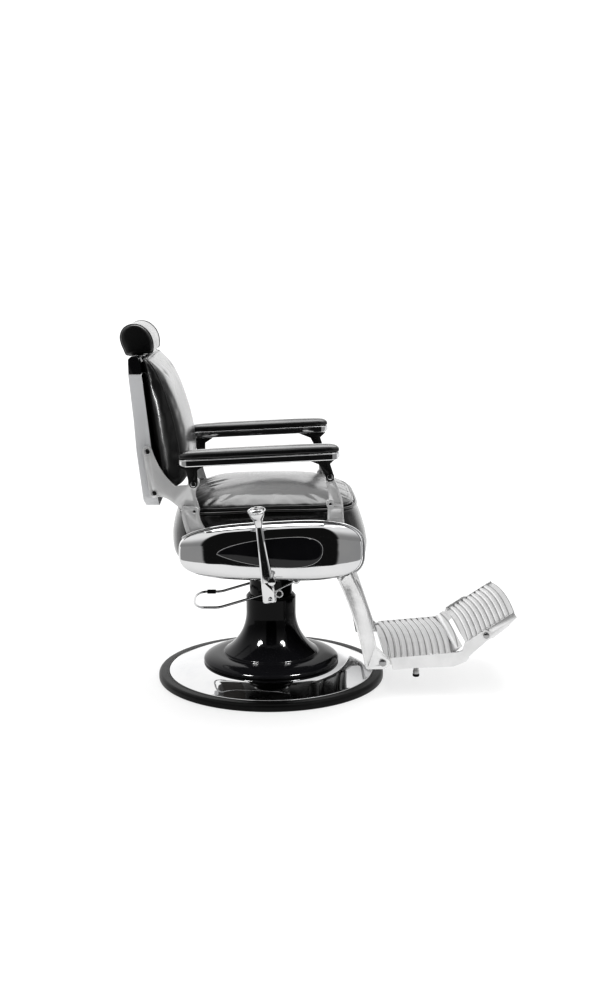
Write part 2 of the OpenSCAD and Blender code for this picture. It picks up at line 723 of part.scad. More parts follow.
// Ring of the back cushion at height z, from the shell to a front swell, given for a cushion
// of height back_full
back_full = 376;
function back_ring(z, swell, cut, e = 0.42) =
    let (zz = shell_low[1] + 48 + z * back_h / back_full)
    soft_ring(zz, shell_x(zz) + fit, shell_x(zz) + swell, back_w / 2 - cut, e, 40);

module back_cushion() color([0.05, 0.05, 0.05]) loft([
    back_ring(0, 45, 20), back_ring(4, 62, 8), back_ring(14, 80, 2), back_ring(34, 96, 0), back_ring(64, 106, 0),
    back_ring(100, 109, 0), back_ring(145, 107, 0), back_ring(190, 102, 0), back_ring(235, 93, 0),
    back_ring(275, 83, 1), back_ring(310, 71, 4), back_ring(340, 56, 9), back_ring(362, 38, 18),
    back_ring(372, 22, 32)
]);

// Crescent bracket: bolted to the shell, ringed round the arm bolt, hung on the rear knee
module back_bracket() color("silver") {
    a = rear_knee;
    b = rear_bolt;
    h = bolt_high;
    w = bolt_low;
    difference() {
        union() {
            slab(bracket_y, bracket_out) polygon(concat(
                arc(h, 14, 215, 30, 8),
                bez(h + [12, 7], [h[0] + 26, h[1] - 40], [b[0] - 82, b[1] + 16], [b[0] - 52, b[1] - 10], 8),
                [[b[0] - 18, b[1] - 8]],
                arc(b, 17, 150, -60, 10),
                bez([b[0] + 6, b[1] - 17], [b[0] + 2, b[1] - 40], [a[0] + 8, a[1] + 30], [a[0] + 13, a[1] + 8], 5),
                arc(a, 15, 20, -120, 8),
                bez([a[0] - 12, a[1] - 12], [a[0] - 50, a[1] + 2], [a[0] - 68, a[1] + 42], [w[0] + 12, w[1] - 10], 8),
                arc(w, 13, -60, -180, 6)
            ));
            bar_y(b, 15, bracket_out - over, strut_y - fit);
            for (p = [h, w]) bar_y(p, 9, shell_w / 2 + fit, bracket_y + over);
        }
        bar_y(a, knee_pin_d / 2 + run, bracket_y - over, bracket_out + over);
        bar_y(b, arm_bolt_d / 2 + 0.5, bracket_y - over, strut_y + over);
        for (p = [h, w]) bar_y(p, 4 + run, shell_w / 2 - over, bracket_out + over);
    }
}

module back_bracket_right() back_bracket();
module back_bracket_left() left() back_bracket();

module bracket_bolts() color("gray") both() for (p = [bolt_high, bolt_low]) {
    bar_y(p, 4, shell_w / 2 - 8, bracket_out + 2);
    bar_y(p, 8, bracket_out + 0.1, bracket_out + 5);
    bar_y(p, 9, shell_w / 2 - shell_t - 7, shell_w / 2 - shell_t - 0.2);
}

module recline_pins() color("gray") both() {
    bar_y(rear_knee, knee_pin_d / 2, bracket_y, post_out + 3);
    bar_y(rear_knee, knee_pin_d / 2 + 4, bracket_y - 6, bracket_y - 0.1);
}

// Frame of the headrest's post: Z runs up along the back's lean, from the shell's top edge
module post_frame() {
    top = shell_low[1] + shell_h;
    translate([shell_x(top) - 21, 0, top]) rotate([0, -back_lean, 0]) children();
}

// Cap on the shell's top edge, higher at its ends than under the headrest, with the post's socket
module headrest_socket() color([0.07, 0.07, 0.07]) post_frame() difference() {
    union() {
        slab(-shell_w / 2, shell_w / 2) polygon([[-15, 2], [20, -1.85], [19.5, 29], [16, 33], [-9, 33], [-12.5, 30]]);
        both() slab(head_w / 2 + 20, shell_w / 2)
            polygon([[-12.7, 28], [19.6, 28], [18.5, 42], [15, 46], [-7, 46], [-11, 42]]);
        translate([-post_bar_t / 2 - 3.5, -post_bar_w / 2 - 3.5, -80]) cube([post_bar_t + 7, post_bar_w + 7, 90]);
    }
    translate([-post_bar_t / 2 - fit, -post_bar_w / 2 - fit, -90]) cube([post_bar_t + 2 * fit, post_bar_w + 2 * fit, 140]);
}

// ---- linked armrests ---------------------------------------------------------------------

// Front link: inner half of the knee's lap, and a thinned eye behind the arm's strut
module front_link() color("silver") {
    k = front_knee;
    c = front_bolt;
    difference() {
        union() {
            slab(post_y, post_out) polygon(concat(
                [[k[0] - 6, k[1] - 6.5], [k[0] + 36, k[1] - 6.5]],
                bez([k[0] + 36, k[1] - 6.5], [k[0] + 35, k[1] + 24], [k[0] + 22, k[1] + 46], [c[0] + 11, c[1] - 5], 6),
                arc(c, 12, -20, 200, 8),
                bez([c[0] - 11, c[1] - 5], [c[0] - 12, c[1] - 20], [c[0] - 3, c[1] - 44], [k[0] - 5, k[1] + 12], 6)
            ));
            bar_y(k, 12, post_y, lap_y);
        }
        slab(lap_y, post_out + over) translate(k) circle(12.6);
        slab(strut_y - fit, post_out + over) {
            translate(c) circle(14);
            translate([c[0] - 14, c[1]]) square([28, 20]);
        }
        slab(post_out - 4, post_out + over) polygon([
            [k[0] + 14, k[1] + 2], [k[0] + 30, k[1] + 2], [c[0] + 18, c[1] - 36], [c[0] + 6, c[1] - 20],
            [c[0] - 4, c[1] - 22], [k[0] + 4, k[1] + 22]
        ]);
        bar_y(k, knee_pin_d / 2 + run, post_y - over, post_out + over);
        bar_y(c, arm_bolt_d / 2 + run, post_y - over, post_out + over);
    }
}

module front_link_right() front_link();
module front_link_left() left() front_link();

module knee_pins() color("gray") both()
    bar_y(front_knee, knee_pin_d / 2, post_y, post_out + 1);

// Frame of an armrest: X along its underside, Z up from it
module arm_frame() {
    translate([arm_mid[0], 0, arm_mid[1]]) rotate([0, -arm_slope, 0]) children();
}

// Place of a bolt in the armrest's own frame
function in_arm(p) = let (d = p - arm_mid)
    [d[0] * cos(arm_slope) + d[1] * sin(arm_slope), d[1] * cos(arm_slope) - d[0] * sin(arm_slope)];

module arm_plan(inset) {
    l = arm_len / 2 - inset;
    w = arm_w / 2 - inset;
    r = w - 7;
    polygon(concat(
        arc([l - r, w - r], r, 0, 90, 8), arc([-l + r, w - r], r, 90, 180, 8),
        arc([-l + r, -w + r], r, 180, 270, 8), arc([l - r, -w + r], r, 270, 360, 8)
    ));
}

module arm_tray() color("silver") arm_frame() translate([0, -arm_y, 0]) {
    intersection() {
        linear_extrude(9) arm_plan(0);
        rotate([90, 0, 0]) translate([0, 0, -arm_w]) linear_extrude(2 * arm_w) polygon([
            [-arm_len / 2 + 28, 0], [arm_len / 2 - 28, 0], [arm_len / 2 - 8, 4], [arm_len / 2, 9], [-arm_len / 2, 9],
            [-arm_len / 2 + 8, 4]
        ]);
    }
    difference() {
        union() {
            translate([0, 0, 8]) linear_extrude(tray_h - 8) arm_plan(4);
            translate([0, 0, tray_h - 3]) linear_extrude(3) arm_plan(0.5);
        }
        translate([0, 0, 9]) linear_extrude(tray_h) arm_plan(9);
    }
}

module arm_tray_right() arm_tray();
module arm_tray_left() left() arm_tray();

arm_full = 31; // height of pad that the rings are given for
function arm_ring(h, cut) = soft_ring(tray_h + fit + h * pad_h / arm_full, -arm_len / 2 + cut, arm_len / 2 - cut,
    arm_w / 2 - min(cut * 0.62, arm_w / 2 - 3), 0.36, 36);

module arm_pad() color([0.05, 0.05, 0.05]) arm_frame() translate([0, -arm_y, 0]) loft([
    arm_ring(0, 5), arm_ring(3, 1), arm_ring(9, 0), arm_ring(15, 1), arm_ring(21, 5), arm_ring(26, 13),
    arm_ring(29.5, 26), arm_ring(31, 40)
]);

module arm_pad_right() arm_pad();
module arm_pad_left() left() arm_pad();

module arm_strut(p, dir) {
    q = in_arm(p);
    difference() {
        arm_frame() slab(strut_y, strut_y + strut_t) {
            translate(q) circle(12);
            polygon([
                [q[0] - 12, q[1]], [q[0] + 12, q[1]], [q[0] - dir * 6 + 14, -16], [q[0] - dir * 10 + 40, -fit],
                [q[0] - dir * 10 - 46, -fit], [q[0] - dir * 6 - 18, -16]
            ]);
        }
        bar_y(p, arm_bolt_d / 2 + run, strut_y - over, strut_y + strut_t + over);
    }
}

module arm_struts() color([0.1, 0.1, 0.1]) both() {
    arm_strut(rear_bolt, 0);
    arm_strut(front_bolt, 2);
}

module arm_bolts() color("silver") both() for (p = [[rear_bolt, bracket_y], [front_bolt, post_y]]) {
    bar_y(p[0], arm_bolt_d / 2, p[1], strut_y + strut_t + 1);
    bar_y(p[0], 8, strut_y + strut_t + 0.1, strut_y + strut_t + 6);
}

// ---- leg rest ----------------------------------------------------------------------------

// Edges of a leg arm from its pivot down to its foot, moved inwards by cut
function leg_back(cut) = let (p = leg_pivot, f = foot_bolt)
    bez([p[0] - 34 + cut, p[1] - 6], [p[0] + 16 + cut, p[1] - 104], [f[0] - 72 + cut, f[1] + 90],
        [f[0] - 51 + cut, f[1] - 18 + cut], 9);
function leg_front(cut) = let (p = leg_pivot, f = foot_bolt)
    bez([f[0] - 14 - cut, f[1] + 16 + cut], [f[0] - 24 - cut, f[1] + 100], [p[0] + 62 - cut, p[1] - 100],
        [p[0] + 19 - cut, p[1] - 4 - cut], 9);

module leg_arm() color("silver") difference() {
    union() {
        slab(leg_in, leg_out) polygon(concat(
            [leg_pivot + [-27, -20]], leg_back(0), [[foot_bolt[0] - 44, foot_bolt[1] - 20]],
            arc(foot_bolt, 20, -90, 60, 8), leg_front(0)
        ));
        bar_y(leg_pivot, 18, leg_in, leg_out);
    }
    slab(leg_out - 4, leg_out + over) polygon(concat(leg_back(7), leg_front(7)));
    bar_y(leg_pivot, leg_shaft_d / 2 + run, leg_in - over, leg_out + over);
    bar_y(foot_bolt, 6 + run, leg_in - over, leg_out + over);
}

module leg_arm_right() leg_arm();
module leg_arm_left() left() leg_arm();

calf_a = leg_pivot + [38, -32];
calf_len = 176;
calf_lean = 19;
calf_back = 22;
crossbar_r = 11;

// Two tubes between the leg arms, close behind the calf pad
module leg_crossbars() color("gray") for (s = [0.17, 0.8]) {
    down = [sin(calf_lean), -cos(calf_lean)];
    rear = [-cos(calf_lean), -sin(calf_lean)];
    at = calf_a + s * calf_len * down + (calf_back + fit + crossbar_r) * rear;
    bar_y(at, crossbar_r, 0.1 - leg_in, leg_in - 0.1);
}

module calf_pad() color([0.05, 0.05, 0.05])
    translate([calf_a[0], 0, calf_a[1]]) rotate([0, 180 - calf_lean, 0]) loft([
        for (s = [[0, 9], [5, 3], [16, 0], [60, 0], [116, 0], [160, 0], [171, 3], [176, 9]])
            soft_ring(s[0] * calf_len / 176, -3 + s[1] * 0.6, calf_back - s[1], leg_in - 4 - s[1], 0.45, 32)
    ]);

// Frame of the foot platform: X along its deck, Z up from the deck's side edge
module foot_frame() {
    translate([foot_start[0], 0, foot_start[1]]) rotate([0, -foot_slope, 0]) children();
}

// Ribbed deck revolved about a far axis, so that its crown is a true arc across the width
module ribbed_deck(length, half, pitch) {
    sweep_a = asin(half / crown_r);
    translate([0, 0, foot_crown - crown_r]) rotate([0, 90, 0]) rotate(180 - sweep_a)
        rotate_extrude(angle = 2 * sweep_a, $fn = 360) deck_profile(length, pitch);
}

// Height of a deck's underside at half width y, over its side edge
function deck_low(y) = foot_crown - pow(y, 2) / (2 * crown_r) - rib_h - deck_t;

// Deck's section: distance from the axis against length, with a round rib at each pitch
module deck_profile(length, pitch) {
    r = pitch * 0.42;
    polygon(concat(
        [[crown_r - deck_t - rib_h, 0], [crown_r - rib_h, 0]],
        [for (x = [rib_first:pitch:length - rib_last])
            each [for (a = [-80:20:80]) [crown_r - rib_h + rib_h * cos(a), x + r * sin(a)]]],
        [[crown_r - rib_h, length], [crown_r - deck_t - rib_h, length]]
    ));
}

module foot_platform() color("silver") {
    lug_out = leg_in - fit;
    difference() {
        union() {
            foot_frame() ribbed_deck(foot_len, foot_half - skirt_t / 2, rib_pitch);
            both() {
                foot_frame() slab(foot_half - skirt_t, foot_half) polygon([
                    [18, 0], [18, -skirt_h], [80, -skirt_h], [200, -skirt_h - 6], [238, -skirt_h + 6],
                    [foot_len + 36, -20], [foot_len + 26, 4], [foot_len, 0]
                ]);
                slab(foot_half - skirt_t, foot_half) {
                    translate(toe_hinge) circle(15);
                    polygon([
                        toe_hinge + [-70, -46], toe_hinge + [-60, -74], toe_hinge + [6, -14],
                        toe_hinge + [-8, 13], toe_hinge + [-62, -22]
                    ]);
                }
                slab(lug_out - 12, lug_out) polygon(concat(
                    arc(foot_bolt, 15, 110, 270, 8),
                    [foot_bolt + [60, -12], foot_bolt + [60, 14]]
                ));
            }
            foot_frame() translate([0, -foot_half + 1, -14]) cube([6, foot_w - 2, 12]);
            foot_frame() rotate([90, 0, 0]) translate([0, 0, -toe_half + 2]) linear_extrude(2 * toe_half - 4)
                polygon([
                    [foot_len - 6, 4], [foot_len, -2], [foot_len + 20, 14], [foot_len + 17, 20], [foot_len, 8]
                ]);
        }
        both() bar_y(toe_hinge, toe_bolt_d / 2 + run, foot_half - skirt_t - over, foot_half + over);
        both() bar_y(foot_bolt, 6 + run, lug_out - 12 - over, lug_out + over);
        both() slab(lug_out + over / 10, foot_half + over) translate(foot_bolt) circle(24);
    }
}

module platform_bolts() color("silver") both() {
    bar_y(foot_bolt, 6, leg_in - 16, leg_out + 1);
    bar_y(foot_bolt, 10, leg_out + 0.1, leg_out + 6);
}

module platform_feet() color("gray") for (y = [-100, 100]) translate([foot_start[0] + 103, y, 0]) {
    top = foot_start[1] + 103 * tan(foot_slope) - 4;
    translate([0, 0, 40]) cylinder(r = 8, h = top - 40);
    translate([0, 0, 21]) cylinder(r = 9.5, h = 19);
}

// ---- toe board ---------------------------------------------------------------------------

module toe_frame() {
    translate([toe_hinge[0], 0, toe_hinge[1]]) rotate([0, -toe_slope, 0]) children();
}

module toe_plate() color("silver") difference() {
    union() {
        toe_frame() translate([-toe_low, 0, toe_face])
            ribbed_deck(toe_len, toe_half - skirt_t / 2, toe_pitch);
        toe_frame() both() slab(toe_half - skirt_t, toe_half) polygon([
            [-toe_low, toe_face + 2], [-toe_low, 0], [-20, -14], [14, -22], [60, -18],
            [toe_len - toe_low - 4, -5], [toe_len - toe_low, 0], [toe_len - toe_low, toe_face + 2]
        ]);
    }
    toe_frame() translate([toe_len - toe_low, 0, -60]) linear_extrude(120) polygon(concat(
        arc([-toe_round, 0], toe_round, -asin(foot_half / toe_round), asin(foot_half / toe_round), 12),
        [[20, foot_half], [20, -foot_half]]
    ));
    both() bar_y(toe_hinge, toe_bolt_d / 2 + run, toe_half - skirt_t - over, toe_half + over);
}

module toe_pad() color([0.05, 0.05, 0.05]) toe_frame() rotate([180, 0, 0]) loft([
    for (s = [[0, 4, 4], [4, 0, 0], [12, 1, 2], [20, 5, 9], [26, 13, 24], [29, 27, 48]])
        soft_ring(fit + 0.2 - toe_face - deck_low(toe_half - 14) + s[0], -26 + s[1],
            toe_len - toe_low - 14 - s[2], toe_half - 10 - s[1], 0.4, 36)
]);

module toe_bolts() color("silver") both() {
    bar_y(toe_hinge, toe_bolt_d / 2, toe_half - skirt_t, foot_half + 1);
    bar_y(toe_hinge, 9, foot_half + 0.2, foot_half + 6);
}

// ---- headrest ----------------------------------------------------------------------------

module headrest_post() color("gray") post_frame() {
    translate([-post_bar_t / 2, -post_bar_w / 2, -70]) cube([post_bar_t, post_bar_w, 114]);
    translate([-24, -70, 41.5]) cube([42, 140, 4]);
}

// Side section of the headrest: flat under and behind, full in front; k draws it in to its middle
function head_section(k) = let (c = [12, 86], edge = concat(
        arc([-22, 54], 8, 180, 270, 3), arc([46, 54], 8, 270, 345, 3),
        bez([54, 56], [61, 84], [50, 112], [28, 126]), bez([28, 126], [8, 137], [-12, 135], [-24, 127]),
        arc([-23, 119], 8, 120, 180, 3)
    )) [for (p = edge) c + k * (p - c)];

module headrest_cushion() color([0.05, 0.05, 0.05]) post_frame() rotate([90, 0, 0]) loft([
    for (s = [[-1, 0.78], [-0.97, 0.91], [-0.9, 0.98], [-0.82, 1], [0.82, 1], [0.9, 0.98], [0.97, 0.91], [1, 0.78]])
        [for (p = head_section(s[1])) [p[0], p[1], s[0] * head_w / 2]]
]);

// ---- what is drawn -----------------------------------------------------------------------

floor_plate();
base_dish();
base_rim();
pedestal();
base_bolts();
neck_seal();
cylinder_barrel();
column_tube();
ram();
column_head();
swivel_bearing();
seat_frame();
seat_board();
seat_base();
seat_welt();
seat_cushion();
side_casing_right();
side_casing_left();
casing_beads();
casing_inlays();
rear_post_right();
rear_post_left();
front_socket_right();
front_socket_left();
legrest_shaft();
pump_bail();
bail_sleeve();
recline_lever();
lever_cup();
lever_shaft();
lever_bolt();
back_shell();
back_board();
back_cushion();
back_bracket_right();
back_bracket_left();
bracket_bolts();
recline_pins();
headrest_socket();
front_link_right();
front_link_left();
knee_pins();
arm_tray_right();
arm_tray_left();
arm_pad_right();
arm_pad_left();
arm_struts();
arm_bolts();
leg_arm_right();
leg_arm_left();
leg_crossbars();
calf_pad();
foot_platform();
platform_bolts();
platform_feet();
toe_plate();
toe_pad();
toe_bolts();
headrest_post();
headrest_cushion();
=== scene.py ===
"""Looks of a hydraulic barber chair: chrome, black vinyl, enamel and cast aluminium.

Lengths in the classes are millimetres in the chair's frame: +X front, +Z up, origin on the
floor under the column. The chair's right side faces -Y. Meshes are made in metres.
"""

from __future__ import annotations

import json
import logging
import math
from collections.abc import Callable, Iterable, Sequence
from dataclasses import dataclass
from enum import Enum

import bmesh
import bpy
import numpy as np
from mathutils import Matrix, Vector
from mathutils.bvhtree import BVHTree


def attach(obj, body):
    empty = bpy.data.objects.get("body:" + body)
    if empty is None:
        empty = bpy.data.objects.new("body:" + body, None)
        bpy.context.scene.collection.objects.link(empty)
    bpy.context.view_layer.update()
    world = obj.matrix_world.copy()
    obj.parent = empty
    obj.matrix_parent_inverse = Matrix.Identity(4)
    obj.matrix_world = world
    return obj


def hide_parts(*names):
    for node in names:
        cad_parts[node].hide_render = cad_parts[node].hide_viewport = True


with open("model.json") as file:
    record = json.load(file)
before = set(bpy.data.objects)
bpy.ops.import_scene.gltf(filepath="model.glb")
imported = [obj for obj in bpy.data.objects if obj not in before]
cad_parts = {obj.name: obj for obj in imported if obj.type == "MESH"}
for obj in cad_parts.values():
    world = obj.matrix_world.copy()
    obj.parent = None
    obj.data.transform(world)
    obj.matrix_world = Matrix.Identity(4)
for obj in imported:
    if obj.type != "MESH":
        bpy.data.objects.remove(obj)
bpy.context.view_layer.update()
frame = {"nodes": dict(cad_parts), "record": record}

log = logging.getLogger("barber_chair")

MM = 0.001
BEVEL_ANGLE = 32.0
WHITE = (1.0, 1.0, 1.0, 1.0)
P2 = tuple[float, float]
P3 = tuple[float, float, float]
Value = "Expr | float"


# ---- plane curves ---------------------------------------------------------------------------


def arc(centre: P2, radius: float, start: float, end: float, steps: int = 10) -> list[P2]:
    """Points of an arc, with angles in degrees."""
    out = []
    for i in range(steps + 1):
        a = math.radians(start + (end - start) * i / steps)
        out.append((centre[0] + radius * math.cos(a), centre[1] + radius * math.sin(a)))
    return out


def bezier(a: P2, b: P2, c: P2, d: P2, steps: int = 12) -> list[P2]:
    """Points of a cubic curve from a to d, its first point left out."""
    out = []
    for i in range(1, steps + 1):
        t = i / steps
        w = ((1 - t) ** 3, 3 * (1 - t) ** 2 * t, 3 * (1 - t) * t * t, t**3)
        out.append(tuple(sum(k * p[j] for k, p in zip(w, (a, b, c, d))) for j in (0, 1)))
    return out


def spow(value: float, power: float) -> float:
    """Signed power, the curve of a superellipse."""
    return math.copysign(abs(value) ** power, value)


def ramp(value: float, low: float, high: float) -> float:
    """Smooth step from 0 at low to 1 at high."""
    t = min(1.0, max(0.0, (value - low) / (high - low)))
    return t * t * (3 - 2 * t)


def soft_ring(z: float, x0: float, x1: float, half: float, power: float = 0.55,
              count: int = 72) -> list[P3]:
    """Closed superellipse ring at height z.

    Args:
        z: Height of the ring.
        x0: Rear end in X.
        x1: Front end in X.
        half: Half width in Y.
        power: 1 for an ellipse, less for squarer corners.
        count: Number of points.

    Returns:
        The ring's points, counter-clockwise from above.
    """
    ring = []
    for i in range(count):
        a = 2 * math.pi * i / count
        ring.append(((x0 + x1) / 2 + (x1 - x0) / 2 * spow(math.cos(a), power),
                     half * spow(math.sin(a), power), z))
    return ring


def smooth_path(points: Sequence[Sequence[float]], per_span: int = 8,
                closed: bool = False) -> list[Vector]:
    """Catmull-Rom curve through points."""
    pts = [Vector(p) for p in points]
    n = len(pts)
    spans = n if closed else n - 1
    out = []
    for i in range(spans):
        p1, p2 = pts[i], pts[(i + 1) % n]
        p0 = pts[i - 1] if (i or closed) else p1 * 2 - p2
        p3 = pts[(i + 2) % n] if (i + 2 < n or closed) else p2 * 2 - p1
        for k in range(per_span):
            t = k / per_span
            out.append(0.5 * (2 * p1 + (p2 - p0) * t + (2 * p0 - 5 * p1 + 4 * p2 - p3) * t * t
                              + (3 * p1 - p0 - 3 * p2 + p3) * t**3))
    if not closed:
        out.append(pts[-1])
    return out


def on_right(points: Iterable[P2], depth: float) -> list[P3]:
    """Points of an outline in X and Z, set at a depth on the chair's right."""
    return [(x, -depth, z) for x, z in points]


# ---- meshes ---------------------------------------------------------------------------------


def shade(obj: bpy.types.Object, angle: float = 35.0) -> bpy.types.Object:
    """Smooth shading with edges over an angle, in degrees, left sharp."""
    mesh = obj.data
    mesh.polygons.foreach_set("use_smooth", [True] * len(mesh.polygons))
    mesh.set_sharp_from_angle(angle=math.radians(angle))
    return obj


def link(name: str, mesh: bpy.types.Mesh) -> bpy.types.Object:
    """New object in the scene around a mesh."""
    obj = bpy.data.objects.new(name, mesh)
    bpy.context.scene.collection.objects.link(obj)
    return obj


def from_bmesh(name: str, bm: bmesh.types.BMesh) -> bpy.types.Object:
    """Object around a finished bmesh, which is freed."""
    mesh = bpy.data.meshes.new(name)
    bm.to_mesh(mesh)
    bm.free()
    return link(name, mesh)


def posed(x: float, y: float, z: float, turn: float = 0.0, axis: str = "Y") -> Matrix:
    """Matrix of a place in millimetres, turned about an axis by degrees."""
    return Matrix.Translation((x, y, z)) @ Matrix.Rotation(math.radians(turn), 4, axis)


def moved(m: Matrix, rings: Iterable[Iterable[Sequence[float]]]) -> list[list[Vector]]:
    """Rings carried by a matrix."""
    return [[m @ Vector(p) for p in ring] for ring in rings]


def solid(name: str, verts: Sequence[Sequence[float]], faces: Sequence[Sequence[int]],
          angle: float = 35.0, turned: bool = False) -> bpy.types.Object:
    """Closed mesh with its faces turned outwards.

    Args:
        name: Name of the object.
        verts: Points in millimetres.
        faces: Numbers of the points round each face.
        angle: Edge angle over which shading is sharp.
        turned: Whether faces without an area, such as on a lathe's axis, are dissolved.

    Returns:
        The object.
    """
    bm = bmesh.new()
    made = [bm.verts.new((p[0] * MM, p[1] * MM, p[2] * MM)) for p in verts]
    for face in faces:
        if len(set(face)) > 2:
            bm.faces.new([made[i] for i in face])
    bmesh.ops.remove_doubles(bm, verts=bm.verts, dist=1e-6)
    if turned:
        bmesh.ops.dissolve_degenerate(bm, edges=bm.edges, dist=1e-7)
    bmesh.ops.recalc_face_normals(bm, faces=bm.faces)
    return shade(from_bmesh(name, bm), angle)


def loft(name: str, rings: Sequence[Sequence[Sequence[float]]], angle: float = 35.0,
         caps: bool = True) -> bpy.types.Object:
    """Closed skin over a stack of rings with the same number of points."""
    n = len(rings[0])
    verts = [p for ring in rings for p in ring]
    faces = [(j * n + i, j * n + (i + 1) % n, (j + 1) * n + (i + 1) % n, (j + 1) * n + i)
             for j in range(len(rings) - 1) for i in range(n)]
    if caps:
        faces += [tuple(range(n)), tuple(range((len(rings) - 1) * n, len(rings) * n))]
    else:
        last = (len(rings) - 1) * n
        faces += [(last + i, last + (i + 1) % n, (i + 1) % n, i) for i in range(n)]
    return solid(name, verts, faces, angle)


def lathe(name: str, profile: Sequence[P2], place: Matrix | None = None, segments: int = 144,
          angle: float = 35.0) -> bpy.types.Object:
    """Solid turned from a closed profile of radius and height.

    Args:
        name: Name of the object.
        profile: Points of radius and height, in millimetres.
        place: Matrix in millimetres from the lathe's axis to the chair's frame.
        segments: Steps round the axis.
        angle: Edge angle over which shading is sharp.

    Returns:
        The object.
    """
    place = place or Matrix.Identity(4)
    m = len(profile)
    verts = []
    for i in range(segments):
        a = 2 * math.pi * i / segments
        for r, z in profile:
            verts.append(place @ Vector((r * math.cos(a), r * math.sin(a), z)))
    faces = [(i * m + j, ((i + 1) % segments) * m + j, ((i + 1) % segments) * m + (j + 1) % m,
              i * m + (j + 1) % m) for i in range(segments) for j in range(m)]
    return solid(name, verts, faces, angle, turned=True)


def sweep(name: str, path: Sequence[Sequence[float]], radius: float, sides: int = 14,
          closed: bool = False) -> bpy.types.Object:
    """Round rod along a path, with domed ends where it is open.

    Args:
        name: Name of the object.
        path: Points in millimetres.
        radius: Radius of the rod.
        sides: Points round the rod.
        closed: Whether the path joins its own start.

    Returns:
        The object.
    """
    pts = [Vector(p) for p in path]
    n = len(pts)
    tangents = []
    for i in range(n):
        before = pts[i - 1] if (i or closed) else pts[0]
        after = pts[(i + 1) % n] if (i + 1 < n or closed) else pts[-1]
        tangents.append((after - before).normalized())
    side = tangents[0].orthogonal().normalized()
    if abs(tangents[0].z) < 0.9:
        side = tangents[0].cross(Vector((0, 0, 1))).normalized()
    sides_at = []
    for i in range(n):
        side = (side - tangents[i] * side.dot(tangents[i])).normalized()
        sides_at.append(side)
    rings = []
    steps = [(i, 1.0, 0.0) for i in range(n)]
    if not closed:
        dome = [(0.35, 0.95), (0.75, 0.66)]
        steps = [(0, k, -d) for k, d in dome] + steps + [(n - 1, k, d) for k, d in dome[::-1]]
    for i, share, shift in steps:
        u, t = sides_at[i], tangents[i]
        v = t.cross(u)
        c = pts[i] + t * radius * shift
        rings.append([c + radius * share * (math.cos(a) * u + math.sin(a) * v)
                      for a in (2 * math.pi * k / sides for k in range(sides))])
    return loft(name, rings, 60, caps=not closed)


def finished(obj: bpy.types.Object) -> bpy.types.Object:
    """Applies the modifiers of an object to its mesh."""
    graph = bpy.context.evaluated_depsgraph_get()
    graph.update()
    mesh = bpy.data.meshes.new_from_object(obj.evaluated_get(graph))
    old = obj.data
    obj.modifiers.clear()
    obj.data = mesh
    bpy.data.meshes.remove(old)
    return obj


def bevelled(obj: bpy.types.Object, width: float, segments: int = 3) -> bpy.types.Object:
    """Rounds an object's sharp edges."""
    mod = obj.modifiers.new("edge", "BEVEL")
    mod.width = width * MM
    mod.segments = segments
    mod.limit_method = "ANGLE"
    mod.angle_limit = math.radians(BEVEL_ANGLE)
    return shade(finished(obj), 42)


def subdivided(obj: bpy.types.Object) -> bpy.types.Object:
    """Applies one level of a subdivision surface."""
    mod = obj.modifiers.new("subdivision", "SUBSURF")
    mod.levels = mod.render_levels = 1
    finished(obj)
    return shade(obj, 60)


def eased(node: str, width: float = 0.8) -> bpy.types.Object:
    """Copy of a CAD node with its facets joined and its edges rounded."""
    bm = bmesh.new()
    bm.from_mesh(frame["nodes"][node].data)
    bmesh.ops.remove_doubles(bm, verts=bm.verts, dist=2e-6)
    bmesh.ops.dissolve_limit(bm, angle_limit=math.radians(0.5), verts=bm.verts, edges=bm.edges)
    obj = from_bmesh(f"{node}_eased", bm)
    if "custom_normal" in obj.data.attributes:
        obj.data.attributes.remove(obj.data.attributes["custom_normal"])
    return bevelled(obj, width, 2)


def bowed(obj: bpy.types.Object, start: P2, slope: float, half: float, bow: float,
          keep: tuple[P2, P2]) -> bpy.types.Object:
    """Bows a ribbed deck in plan, so that its ribs curve outwards in their middle.

    Args:
        obj: Mesh of the deck and its skirts.
        start: Start of the deck in X and Z.
        slope: Slope of the deck, in degrees.
        half: Half of the deck's width.
        bow: How far the middle lies before the sides.
        keep: Lengths between which the bow sets in at the start and fades at the end.

    Returns:
        The same object.
    """
    turn = math.radians(slope)
    along = Vector((math.cos(turn), 0, math.sin(turn)))
    for vert in obj.data.vertices:
        p = vert.co / MM
        out = Vector((p.x - start[0], 0, p.z - start[1]))
        length, height = out.dot(along), out.dot(Vector((-along.z, 0, along.x)))
        share = ramp(length, *keep[0]) * (1 - ramp(length, *keep[1])) * ramp(height, -8, 0)
        shift = bow * (0.5 - (p.y / half) ** 2) * share
        vert.co += along * shift * MM
    return obj


def mirrored(obj: bpy.types.Object, name: str) -> bpy.types.Object:
    """Copy of an object on the chair's other side."""
    mesh = obj.data.copy()
    mesh.name = name
    mesh.transform(Matrix.Scale(-1, 4, (0, 1, 0)))
    mesh.flip_normals()
    return link(name, mesh)


def joined(name: str, parts: Sequence[bpy.types.Object]) -> bpy.types.Object:
    """One object from several that share a finish."""
    bm = bmesh.new()
    for part in parts:
        bm.from_mesh(part.data)
        bpy.data.objects.remove(part)
    return from_bmesh(name, bm)


# ---- soft goods -----------------------------------------------------------------------------


VINYL_CLOTH = {"quality": 6, "vertex_group_mass": "held", "use_pressure": True,
               "tension_stiffness": 25, "compression_stiffness": 25, "bending_stiffness": 2}


def coords(obj: bpy.types.Object) -> np.ndarray:
    """Points of an object's mesh, one to a row."""
    out = np.empty(len(obj.data.vertices) * 3)
    obj.data.vertices.foreach_get("co", out)
    return out.reshape(-1, 3)


